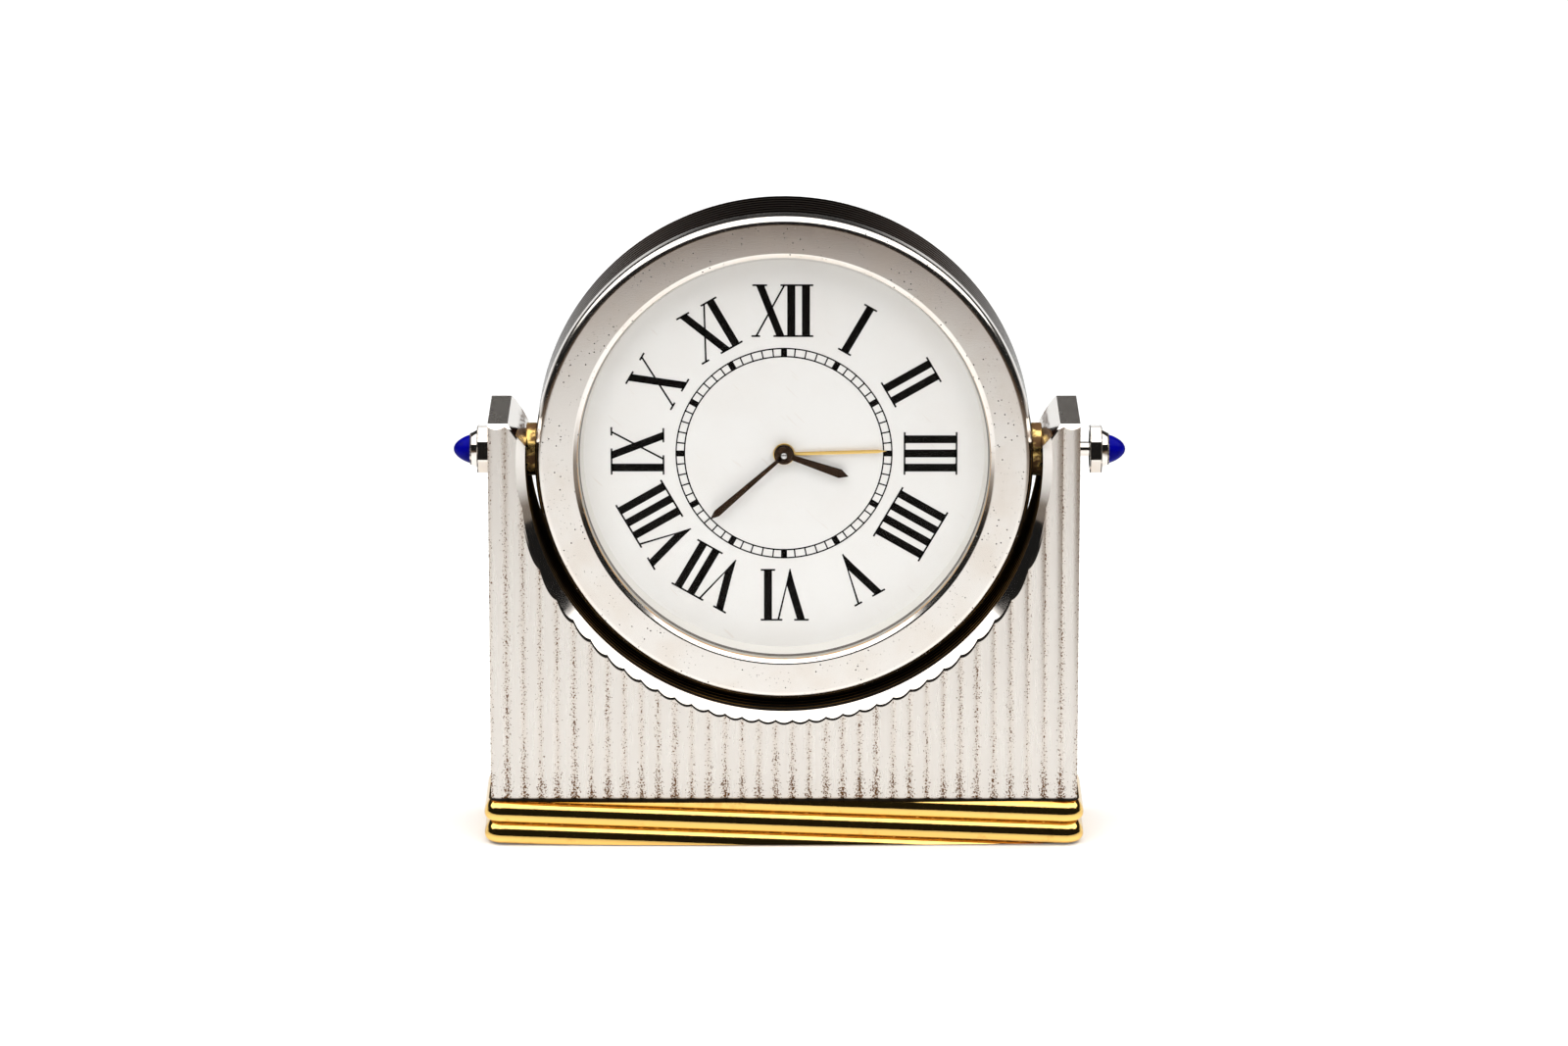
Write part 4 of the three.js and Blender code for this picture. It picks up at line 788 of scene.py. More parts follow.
def board_green(sheet, colours):
    """Circuit board with lighter tracks."""
    x = sheet.part(sheet.point(), "X")
    tracks = abs((x / (1.1 * MM)).fraction() - 0.5).ease(0.3, 0.34)
    return sheet.done(sheet.surface(
        Base_Color=sheet.blend(tracks * 0.5, colours.board, colours.brass), Roughness=0.35 + tracks * 0.1
    ))


def felt(sheet, colours):
    """Dense green felt."""
    point = sheet.point()
    fibre = sheet.noise(point, 0.15 * MM, detail=6.0, roughness=0.8)
    return sheet.done(sheet.surface(
        Base_Color=sheet.blend(fibre * 0.5, colours.felt, colours.board),
        Roughness=0.9 + fibre * 0.1,
        Sheen_Weight=0.4,
        Normal=sheet.bump(fibre, 0.1 * MM, 0.8),
    ))


# Shapes


def filleted(corners, closed=False, steps=FILLET_STEPS):
    """A profile through (radius, along, fillet) corners, each rounded by its fillet."""
    points = []
    last = len(corners) - 1
    for index, (radius, along, fillet) in enumerate(corners):
        here = Vector((radius, along))
        if not fillet or (not closed and index in (0, last)):
            points.append(here)
            continue
        before = (Vector(corners[index - 1][:2]) - here).normalized()
        after = (Vector(corners[(index + 1) % len(corners)][:2]) - here).normalized()
        half = before.angle(after) / 2
        start = here + before * (fillet / math.tan(half))
        end = here + after * (fillet / math.tan(half))
        hub = here + (before + after).normalized() * (fillet / math.sin(half))
        sweep = (start - hub).angle_signed(end - hub)
        for step in range(steps + 1):
            points.append(hub + Matrix.Rotation(-sweep * step / steps, 2) @ (start - hub))
    return [tuple(point) for point in points]


def turned(profile, axis, centre, steps, closed=False, start=0.0):
    """A profile of (radius, along) points spun once about an axis through a centre, from an angle."""
    out = Quaternion(axis, start) @ axis.orthogonal().normalized()
    shape = bmesh.new()
    verts = [shape.verts.new(centre + out * radius + axis * along) for radius, along in profile]
    edges = [shape.edges.new(pair) for pair in zip(verts, verts[1:])]
    if closed:
        edges.append(shape.edges.new((verts[-1], verts[0])))
    bmesh.ops.spin(
        shape, geom=verts + edges, cent=centre, axis=axis, angle=FULL_TURN, steps=steps, use_merge=True
    )
    return tidied(shape)


def disc(radius, front, back, centre, steps, front_edge=0.0, back_edge=0.0, axis=BACKWARD):
    """A round plate or bar between two distances along an axis, with rounded edges."""
    profile = [(0, front, 0), (radius, front, front_edge), (radius, back, back_edge), (0, back, 0)]
    return turned(filleted(profile), axis, centre, steps)


def tidied(shape):
    """The shape with its doubles merged and its faces turned outwards."""
    bmesh.ops.remove_doubles(shape, verts=shape.verts[:], dist=WELD)
    bmesh.ops.recalc_face_normals(shape, faces=shape.faces[:])
    return shape


def block(low, high):
    """A box between two corners."""
    low, high = Vector(low), Vector(high)
    matrix = Matrix.Translation((low + high) / 2) @ Matrix.Diagonal((*(high - low), 1))
    shape = bmesh.new()
    bmesh.ops.create_cube(shape, size=1, matrix=matrix)
    return shape


def pull(shape, face, direction):
    """Pulls a face along a direction, with walls behind it."""
    pulled = bmesh.ops.extrude_face_region(shape, geom=[face])["geom"]
    moved = [item for item in pulled if isinstance(item, bmesh.types.BMVert)]
    bmesh.ops.translate(shape, verts=moved, vec=direction)


def raised(outline, direction):
    """A closed outline of points filled with a face and pulled along a direction."""
    shape = bmesh.new()
    pull(shape, shape.faces.new([shape.verts.new(point) for point in outline]), direction)
    return tidied(shape)


def rounded_rims(shape, offset, segments=3, limit=math.radians(50)):
    """Bevels every edge that is sharper than the limit."""
    sharp = [edge for edge in shape.edges if edge.is_manifold and edge.calc_face_angle() > limit]
    bmesh.ops.bevel(
        shape, geom=sharp, offset=offset, affect="EDGES", segments=segments, profile=0.5, material=-1,
        clamp_overlap=True,
    )
    return shape


def joined(*shapes):
    """Several shapes as loose parts of one."""
    whole = bmesh.new()
    for shape in shapes:
        mesh = bpy.data.meshes.new("part")
        shape.to_mesh(mesh)
        shape.free()
        whole.from_mesh(mesh)
        bpy.data.meshes.remove(mesh)
    return whole


def carved(shape, *cutters):
    """The shape with each cutter taken out. Faces that a cutter leaves take finish 1."""
    objects = []
    for part in (shape, *cutters):
        mesh = bpy.data.meshes.new("carving")
        part.to_mesh(mesh)
        part.free()
        mesh.materials.append(None)
        mesh.materials.append(None)
        carving = bpy.data.objects.new("carving", mesh)
        bpy.context.scene.collection.objects.link(carving)
        objects.append(carving)
    blank, *tools = objects
    for tool in tools:
        for face in tool.data.polygons:
            face.material_index = 1
        modifier = blank.modifiers.new("cut", "BOOLEAN")
        modifier.operation = "DIFFERENCE"
        modifier.solver = "EXACT"
        modifier.object = tool
    result = bmesh.new()
    result.from_object(blank, bpy.context.evaluated_depsgraph_get())
    for carving in objects:
        mesh = carving.data
        bpy.data.objects.remove(carving)
        bpy.data.meshes.remove(mesh)
    return tidied(result)


def add_piece(name, shape, body, finishes, nodes=()):
    """Makes a shape an object that rides on a body and stands for CAD nodes."""
    for face in shape.faces:
        face.smooth = True
    for edge in shape.edges:
        one_finish = len({face.material_index for face in edge.link_faces}) == 1
        edge.smooth = edge.is_manifold and one_finish and edge.calc_face_angle() < SHARP_ANGLE
    mesh = bpy.data.meshes.new(name)
    shape.to_mesh(mesh)
    shape.free()
    for make in finishes:
        mesh.materials.append(finish(make))
    piece = bpy.data.objects.new(name, mesh)
    bpy.context.scene.collection.objects.link(piece)
    shading = piece.modifiers.new("flat faces stay flat", "WEIGHTED_NORMAL")
    shading.keep_sharp = True
    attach(piece, body)
    if nodes:
        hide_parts(*nodes)


class PieceOperator:
    """What the operators share."""

    bl_options = {"REGISTER", "UNDO"}

    def execute(self, context):
        self.build(context.scene)
        return {"FINISHED"}


# Stand


def round_rectangle(share, width, depth, corner):
    """The point and outward direction at a share of the way round, from the front's left end."""
    runs = [
        (width - 2 * corner, Vector((-width / 2 + corner, -depth / 2)), 0),
        (depth - 2 * corner, Vector((width / 2, -depth / 2 + corner)), 1),
        (width - 2 * corner, Vector((width / 2 - corner, depth / 2)), 2),
        (depth - 2 * corner, Vector((-width / 2, depth / 2 - corner)), 3),
    ]
    bend = corner * math.pi / 2
    travel = share * (sum(run[0] for run in runs) + 4 * bend)
    for straight, start, quarter in runs:
        turn = Matrix.Rotation(quarter * math.pi / 2, 2)
        ahead, out = turn @ Vector((1, 0)), turn @ Vector((0, -1))
        if travel <= straight:
            return start + ahead * travel, out
        travel -= straight
        if travel <= bend:
            swing = Matrix.Rotation(travel / corner, 2) @ out
            return start + ahead * straight - out * corner + swing * corner, swing
        travel -= bend
    return runs[0][1], Vector((0, -1))


class CLOCK_OT_plinth(PieceOperator, bpy.types.Operator):
    """Model the gilt plinth, whose roll winds down one pitch across the front"""

    bl_idname = "clock.plinth"
    bl_label = "Plinth"

    STATIONS = 560
    ROWS = 72

    def build(self, scene):
        sizes = scene.clock_stand
        low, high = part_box("base_plinth")
        width, depth, height = high - low
        shape = bmesh.new()
        groove = shape.verts.layers.float.new("groove")
        bmesh.ops.create_grid(shape, x_segments=self.STATIONS, y_segments=self.ROWS, size=0.5)
        for vert in shape.verts:
            point, out = round_rectangle(vert.co.x + 0.5, width, depth, sizes.plinth_corner)
            rise = (vert.co.y + 0.5) * height
            across = min(max(0.5 + point.x / (width - 2 * sizes.plinth_corner), 0), 1)
            drop = sizes.roll_pitch * across if point.y < 0 else 0
            level = 2 * (((rise + drop) / sizes.roll_pitch) % 1) - 1
            level += sizes.roll_droop * (1 - level * level)
            swell = math.sqrt(max(0, 1 - level * level))
            inset = sizes.roll_bulge * (1 - swell)
            vert.co = (point.x - out.x * inset, point.y - out.y * inset, low.z + rise)
            # How deep the point lies in a groove, which the gilt's painted shade follows.
            vert[groove] = 1 - swell
        tidied(shape)
        open_edges = [edge for edge in shape.edges if edge.is_boundary]
        bmesh.ops.holes_fill(shape, edges=open_edges, sides=0)
        tidied(shape)
        add_piece("plinth", shape, "stand", [gilt], ["base_plinth"])


class CLOCK_OT_cradle(PieceOperator, bpy.types.Operator):
    """Model the reeded cradle with its round cut and sloped tops"""

    bl_idname = "clock.cradle"
    bl_label = "Cradle"

    CUT_STEPS = 240
    # Size of the blocks that cut the slopes and the top edges
    BLOCK = 10 * MM
    FINISHES = [reeded_silver, polished_silver, satin_silver, bright_slope, gap_shade_and_reflection]

    def reeded_outline(self, sizes):
        low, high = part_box("cradle")
        pitch = (high.x - low.x) / sizes.reed_count
        crest = (high.y - low.y) / 2
        front = []
        for reed in range(sizes.reed_count):
            for step in range(REED_STEPS):
                share = step / REED_STEPS
                sink = sizes.reed_depth * (2 * share - 1) ** 2
                front.append((low.x + pitch * (reed + share), sink - crest))
        front.append((high.x, sizes.reed_depth - crest))
        return [(x, y, low.z) for x, y in front] + [(x, -y, low.z) for x, y in reversed(front)]

    def round_cutter(self, sizes):
        crest = span_of("cradle").y / 2
        radius = cut_radius(sizes)
        past = crest + sizes.cut_chamfer
        profile = [
            (0, -past),
            (radius + 2 * sizes.cut_chamfer, -past),
            (radius, -crest + sizes.cut_chamfer),
            (radius, crest - sizes.cut_chamfer),
            (radius + 2 * sizes.cut_chamfer, past),
            (0, past),
        ]
        return turned(profile, BACKWARD, PIVOT, self.CUT_STEPS)

    def slope_cutter(self, sizes, side):
        shape = block((-self.BLOCK, -2 * self.BLOCK, 0), (self.BLOCK, 2 * self.BLOCK, self.BLOCK))
        slide = Matrix.Translation((-side * self.BLOCK, 0, 0))
        tilt = Matrix.Rotation(-side * math.atan2(sizes.slope_drop, sizes.slope_width), 4, "Y")
        place = Matrix.Translation((side * slope_ridge(sizes), 0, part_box("cradle")[1].z))
        bmesh.ops.transform(shape, matrix=place @ tilt @ slide, verts=shape.verts[:])
        return shape

    def edge_cutter(self, sizes, side):
        low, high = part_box("cradle")
        crest = (high.y - low.y) / 2
        shape = block((2 * low.x, -self.BLOCK, 0), (2 * high.x, self.BLOCK, self.BLOCK))
        tilt = Matrix.Rotation(-side * math.pi / 4, 4, "X")
        place = Matrix.Translation((0, side * crest, high.z - sizes.top_chamfer))
        bmesh.ops.transform(shape, matrix=place @ tilt, verts=shape.verts[:])
        return shape

    def build(self, scene):
        sizes = scene.clock_stand
        low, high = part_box("cradle")
        blank = raised(self.reeded_outline(sizes), UP * (high.z - low.z))
        reach = high.x + 2 * MM
        hole = disc(sizes.pivot_hole, -reach, reach, PIVOT, SMALL_STEPS, axis=ACROSS)
        slopes = [self.slope_cutter(sizes, side) for side in (-1, 1)]
        edges = [self.edge_cutter(sizes, side) for side in (-1, 1)]
        shape = carved(blank, self.round_cutter(sizes), *slopes, *edges, hole)
        for face in shape.faces:
            middle = face.calc_center_median() - PIVOT
            on_upright = middle.z > 0
            if on_upright and face.normal.z > 0.99:
                face.material_index = self.FINISHES.index(satin_silver)
            elif on_upright and face.normal.z > 0.3 and abs(face.normal.y) < 0.01:
                face.material_index = self.FINISHES.index(bright_slope)
            elif math.hypot(middle.x, middle.z) < cut_radius(sizes):
                face.material_index = self.FINISHES.index(gap_shade_and_reflection)
        add_piece("reeded_cradle", shape, "stand", self.FINISHES, ["cradle"])


class CLOCK_OT_pivots(PieceOperator, bpy.types.Operator):
    """Model the pivot screws, their blue stones and the brass washers"""

    bl_idname = "clock.pivots"
    bl_label = "Pivots"

    DOME_STEPS = 16
    SHANK_EDGE = 0.2 * MM
    RIM_EDGE = 0.1 * MM
    SEAT_EDGE = 0.02 * MM
    WASHER_EDGE = 0.3 * MM
    # Below the angle between two flats, so that all the knob's edges are rounded
    KNOB_LIMIT = math.radians(30)

    def screw(self, sizes, name, side):
        node = f"pivot_screw_{name}"
        inner, cup_end = sorted(abs(corner.x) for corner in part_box(node))
        seat = min(abs(corner.x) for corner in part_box(f"pivot_cabochon_{name}"))
        stone_radius = span_of(f"pivot_cabochon_{name}").z / 2
        knob_end = cup_end - sizes.cup_length
        knob_start = knob_end - sizes.knob_length
        rim_start = cup_end - sizes.rim_wear
        rim_flare = (sizes.cup_root - sizes.cup_rim) * sizes.rim_wear / sizes.cup_length
        profile = filleted([
            (0, inner, 0),
            (sizes.shank_radius, inner, self.SHANK_EDGE),
            (sizes.shank_radius, knob_start, 0),
            (sizes.cup_root, knob_start, 0),
            (sizes.cup_root, knob_end, 0),
            (sizes.cup_rim + rim_flare, rim_start, 0),
            (sizes.cup_rim, cup_end, self.RIM_EDGE),
            (stone_radius, cup_end, self.SEAT_EDGE),
            (stone_radius, seat, 0),
            (0, seat, 0),
        ])
        stem = turned(profile, ACROSS * side, PIVOT, SMALL_STEPS)
        half_side = math.pi / sizes.knob_sides
        corner = span_of(node).z / 2 / math.cos(half_side)
        prism = [(0, knob_start), (corner, knob_start), (corner, knob_end), (0, knob_end)]
        start = half_side - side * sizes.knob_turn
        knob = turned(prism, ACROSS * side, PIVOT, sizes.knob_sides, start=start)
        rounded_rims(knob, sizes.knob_edge, limit=self.KNOB_LIMIT)
        shape = joined(stem, knob)
        for face in shape.faces:
            middle = face.calc_center_median() - PIVOT
            along = abs(middle.x)
            on_rim = abs(along - (knob_start + knob_end) / 2) > sizes.knob_length / 2 - sizes.knob_edge
            on_knob = math.hypot(middle.y, middle.z) > sizes.cup_root and abs(face.normal.x) < 0.99
            if along > rim_start or (on_rim and on_knob):
                face.material_index = 1
        finishes = [polished_silver, worn_edge]
        add_piece(f"pivot_knob_{name}", shape, f"{name}_pivot", finishes, [node])

    def stone(self, sizes, name, side):
        node = f"pivot_cabochon_{name}"
        seat, tip = sorted(abs(corner.x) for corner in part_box(node))
        cup_end = max(abs(corner.x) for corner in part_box(f"pivot_screw_{name}"))
        radius = span_of(node).z / 2
        profile = [(0, seat), (radius, seat)]
        for step in range(self.DOME_STEPS + 1):
            share = math.sin(step / self.DOME_STEPS * math.pi / 2)
            bulge = math.sqrt(1 - share ** sizes.stone_fullness)
            profile.append((radius * bulge, cup_end + (tip - cup_end) * share))
        shape = turned(profile, ACROSS * side, PIVOT, SMALL_STEPS)
        add_piece(f"cabochon_{name}", shape, f"{name}_pivot", [blue_stone], [node])

    def washer(self, sizes, name, side):
        node = f"pivot_washer_{name}"
        inner, outer = sorted(abs(corner.x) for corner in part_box(node))
        radius = span_of(node).z / 2
        profile = filleted([
            (sizes.pivot_hole, inner, 0),
            (radius, inner, self.WASHER_EDGE),
            (radius, outer, self.WASHER_EDGE),
            (sizes.pivot_hole, outer, 0),
        ], closed=True)
        shape = turned(profile, ACROSS * side, PIVOT, SMALL_STEPS, closed=True)
        add_piece(f"washer_{name}", shape, "case", [brass], [node])

    def build(self, scene):
        for name, side in (("left", -1), ("right", 1)):
            self.screw(scene.clock_stand, name, side)
            self.stone(scene.clock_stand, name, side)
            self.washer(scene.clock_stand, name, side)


# Case


class CLOCK_OT_case(PieceOperator, bpy.types.Operator):
    """Model the ribbed case band and the polished bezel"""

    bl_idname = "clock.case"
    bl_label = "Case"

    BACK_EDGE = 0.1 * MM
    LIP_EDGE = 0.05 * MM

    def band(self, sizes):
        low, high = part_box("case_band")
        radius = radius_of("case_band")
        bore = radius - sizes.case_wall
        pitch = (high.y - low.y) / sizes.rib_count
        half = sizes.rib_groove / 2
        profile = [(bore, high.y), (bore, low.y)]
        for rib in range(sizes.rib_count):
            start = low.y + pitch * rib
            profile.append((radius - sizes.rib_depth, start))
            profile.append((radius, start + half))
            profile.append((radius, start + pitch - half))
        profile.append((radius - sizes.rib_depth, high.y))
        shape = turned(profile, BACKWARD, PIVOT, DRUM_STEPS, closed=True)
        for face in shape.faces:
            if face.normal.y > 0.9:
                face.material_index = 1
        finishes = [ribbed_silver, back_silver]
        add_piece("ribbed_band", shape, "case", finishes, ["case_band"])

    def bezel(self, sizes):
        low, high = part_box("bezel")
        radius = radius_of("bezel")
        glass_front, glass_back = (corner.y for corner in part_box("crystal"))
        gasket_bore = radius_of("crystal")
        profile = filleted([
            (radius, high.y, self.BACK_EDGE),
            (radius, low.y, sizes.bezel_edge),
            (sizes.face_radius, low.y, sizes.face_round),
            (sizes.lip_radius, low.y + sizes.bevel_depth, self.LIP_EDGE),
            (sizes.seat_radius, glass_back, 0),
            (gasket_bore, glass_back, 0),
            (gasket_bore, glass_front, 0),
            (sizes.bezel_bore, glass_front, 0),
            (sizes.bezel_bore, high.y, 0),
        ], closed=True)
        shape = turned(profile, BACKWARD, PIVOT, DRUM_STEPS, closed=True)
        for face in shape.faces:
            out = face.calc_center_median() - PIVOT
            if math.hypot(out.x, out.z) < sizes.lip_radius - self.LIP_EDGE:
                face.material_index = 1
        add_piece("polished_bezel", shape, "case", [bezel_silver, crystal_seat], ["bezel"])

    def build(self, scene):
        self.band(scene.clock_case)
        self.bezel(scene.clock_case)


class CLOCK_OT_crystal(PieceOperator, bpy.types.Operator):
    """Model the flat crystal and the white ring under it"""

    bl_idname = "clock.crystal"
    bl_label = "Crystal"

    CLEARANCE = 0.03 * MM
    FRONT_EDGE = 0.2 * MM
    BACK_EDGE = 0.05 * MM
    RING_EDGE = 0.15 * MM

    def crystal(self, sizes):
        low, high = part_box("crystal")
        radius = sizes.seat_radius - self.CLEARANCE
        shape = disc(radius, low.y, high.y, PIVOT, DRUM_STEPS, self.FRONT_EDGE, self.BACK_EDGE)
        add_piece("flat_crystal", shape, "case", [crystal_glass], ["crystal"])

    def ring(self, sizes):
        low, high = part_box("dial_ring")
        radius = radius_of("dial_ring")
        profile = filleted([
            (sizes.dial_sight + sizes.ring_lean, low.y, self.RING_EDGE),
            (radius, low.y, 0),
            (radius, high.y, 0),
            (sizes.dial_sight, high.y, 0),
        ], closed=True)
        shape = turned(profile, BACKWARD, PIVOT, DRUM_STEPS, closed=True)
        add_piece("dial_surround", shape, "case", [dial_ring_white], ["dial_ring"])

    def build(self, scene):
        self.crystal(scene.clock_case)
        self.ring(scene.clock_case)


# Dial and hands


def dial_point(side, out, turn):
    """The x and z of a point to the side of and out along a radius turned clockwise from twelve."""
    x = side * math.cos(turn) + out * math.sin(turn)
    z = out * math.cos(turn) - side * math.sin(turn)
    return x, PIVOT.z + z


class Printer:
    """Lays flat strokes of ink on the dial, in a frame turned to one hour."""

    def __init__(self, shape, face, height, turn):
        self.shape = shape
        self.face = face
        self.height = height
        self.turn = turn

    def stroke(self, foot, head, foot_out, head_out):
        """A bar whose foot and head are each a (left, right) pair at a distance out."""
        corners = [(foot[0], foot_out), (foot[1], foot_out), (head[1], head_out), (head[0], head_out)]
        points = [dial_point(*corner, self.turn) for corner in corners]
        face = self.shape.faces.new([self.shape.verts.new((x, self.face, z)) for x, z in points])
        pull(self.shape, face, (0, -self.height, 0))


class CLOCK_OT_dial(PieceOperator, bpy.types.Operator):
    """Model the enamel dial with its printed numerals and minute track"""

    bl_idname = "clock.dial"
    bl_label = "Dial"

    NUMERALS = ["XII", "I", "II", "III", "IIII", "V", "VI", "VII", "VIII", "IX", "X", "XI"]
    # Room that a letter takes left and right of its middle, in thick strokes
    ROOM = {"I": (0.92, 0.92), "V": (2.2, 1.85), "X": (1.95, 1.7)}
    # How far the V's heads and the X's ends lie from the letter's middle, in thick strokes
    V_ARMS = (-1.46, 1.62)
    X_THICK = 1.32
    X_THIN = 1.82
    # Height of a serif, in thin strokes
    SERIF = 0.9

    def letter(self, printer, sizes, glyph, at):
        """One Roman letter: thick and thin strokes, each with its serifs."""
        foot, head = sizes.numeral_foot, sizes.numeral_head
        thick, thin = sizes.thick_stroke, sizes.thin_stroke

        def about(middle, width):
            return (middle - width / 2, middle + width / 2)

        def serif(middle, width, out, inward):
            reach = width + 2 * sizes.serif_reach
            printer.stroke(about(middle, reach), about(middle, reach), out, out + inward * thin * self.SERIF)

        def slant(foot_at, head_at, width, foot_serif=True):
            printer.stroke(about(foot_at, width), about(head_at, width), foot, head)
            serif(head_at, width, head, -1)
            if foot_serif:
                serif(foot_at, width, foot, 1)

        if glyph == "I":
            slant(at, at, thick)
        elif glyph == "X":
            slant(at + self.X_THICK * thick, at - self.X_THICK * thick, thick)
            slant(at - self.X_THIN * thick, at + self.X_THIN * thick, thin)
        else:
            left, right = (arm * thick for arm in self.V_ARMS)
            outer_left = left - thick / 2
            crotch = thick / (right - outer_left)
            crotch_out = foot + crotch * (head - foot)
            meeting = (at + crotch * outer_left, at + crotch * right)
            printer.stroke((at - thin / 4, at + thin / 4), meeting, foot, crotch_out)
            printer.stroke(meeting, about(at + left, thick), crotch_out, head)
            printer.stroke((at - thin / 2, at), (at + right - thin, at + right), foot, head)
            serif(at + left, thick, head, -1)
            serif(at + right - thin / 2, thin, head, -1)

    def numeral(self, printer, sizes, text):
        """A numeral centred on its hour, feet towards the dial's middle."""
        thick = sizes.thick_stroke
        place = -sum(sum(self.ROOM[glyph]) for glyph in text) * thick / 2
        for glyph in text:
            left, right = self.ROOM[glyph]
            self.letter(printer, sizes, glyph, place + left * thick)
            place += (left + right) * thick

    def track_circle(self, sizes, radius, face):
        half = sizes.track_line / 2
        top = face - sizes.print_height
        profile = [(radius - half, face), (radius + half, face), (radius + half, top), (radius - half, top)]
        return turned(profile, BACKWARD, PIVOT, DRUM_STEPS, closed=True)

    def build(self, scene):
        sizes, case = scene.clock_dial, scene.clock_case
        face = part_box("dial")[0].y
        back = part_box("movement_plate")[0].y
        radius = radius_of("dial")
        profile = [(case.dial_hole, face), (radius, face), (radius, back), (case.dial_hole, back)]
        plate = turned(profile, BACKWARD, PIVOT, DRUM_STEPS, closed=True)
        add_piece("enamel_dial", plate, "case", [dial_enamel], ["dial"])
        strokes = bmesh.new()
        for hour, text in enumerate(self.NUMERALS):
            printer = Printer(strokes, face, sizes.print_height, hour / 12 * FULL_TURN)
            self.numeral(printer, sizes, text)
        for minute in range(60):
            printer = Printer(strokes, face, sizes.print_height, minute / 60 * FULL_TURN)
            half = (sizes.track_line if minute % 5 else sizes.hour_block) / 2
            printer.stroke((-half, half), (-half, half), sizes.track_inner, sizes.track_outer)
        bmesh.ops.recalc_face_normals(strokes, faces=strokes.faces[:])
        inner = self.track_circle(sizes, sizes.track_inner, face)
        outer = self.track_circle(sizes, sizes.track_outer, face)
        add_piece("dial_print", joined(strokes, inner, outer), "case", [dial_ink])


class CLOCK_OT_hands(PieceOperator, bpy.types.Operator):
    """Model the three hands and the bright pin that carries them"""

    bl_idname = "clock.hands"
    bl_label = "Hands"

    # From the top one down
    FINISHES = {"minute": bronze, "hour": bronze, "alarm": hand_gold}
    BLADE_EDGE = 0.05 * MM
    HUB_BACK_EDGE = 0.04 * MM
    HUB_FRONT_EDGE = 0.08 * MM
    BORE_EDGE = 0.05 * MM
    PIN_EDGE = 0.3 * MM

    def hand(self, sizes, name, make, hub):
        node = f"{name}_hand"
        low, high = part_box(node)
        reach = getattr(sizes, f"{name}_length")
        width = getattr(sizes, f"{name}_width")
        neck = getattr(sizes, f"{name}_neck")
        turn = getattr(sizes, f"{name}_angle")
        widest = reach - sizes.hand_point
        outline = [(-neck / 2, 0), (-width / 2, widest), (0, reach), (width / 2, widest), (neck / 2, 0)]
        points = [dial_point(*point, turn) for point in outline]
        blade = raised([(x, high.y, z) for x, z in points], BACKWARD * (low.y - high.y))
        rounded_rims(blade, self.BLADE_EDGE, segments=2)
        profile = filleted([
            (sizes.hub_bore, high.y, 0),
            (hub, high.y, self.HUB_BACK_EDGE),
            (hub, low.y, self.HUB_FRONT_EDGE),
            (sizes.hub_bore, low.y, self.BORE_EDGE),
        ], closed=True)
        eye = turned(profile, BACKWARD, PIVOT, SMALL_STEPS, closed=True)
        add_piece(f"{name}_pointer", joined(blade, eye), f"{name}_works", [make], [node])

    def pin(self, sizes):
        """The bright pin, which stands out of the minute hand twice as far as the arbor does."""
        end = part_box("minute_arbor")[0].y
        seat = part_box("minute_hand")[0].y
        shape = disc(sizes.pin_radius, 2 * end - seat, seat, PIVOT, SMALL_STEPS, self.PIN_EDGE)
        add_piece("hand_pin", shape, "minute_works", [steel])

    def build(self, scene):
        sizes = scene.clock_dial
        for level, (name, make) in enumerate(self.FINISHES.items()):
            self.hand(sizes, name, make, sizes.hub_radius + level * sizes.hub_step)
        self.pin(sizes)


# Back


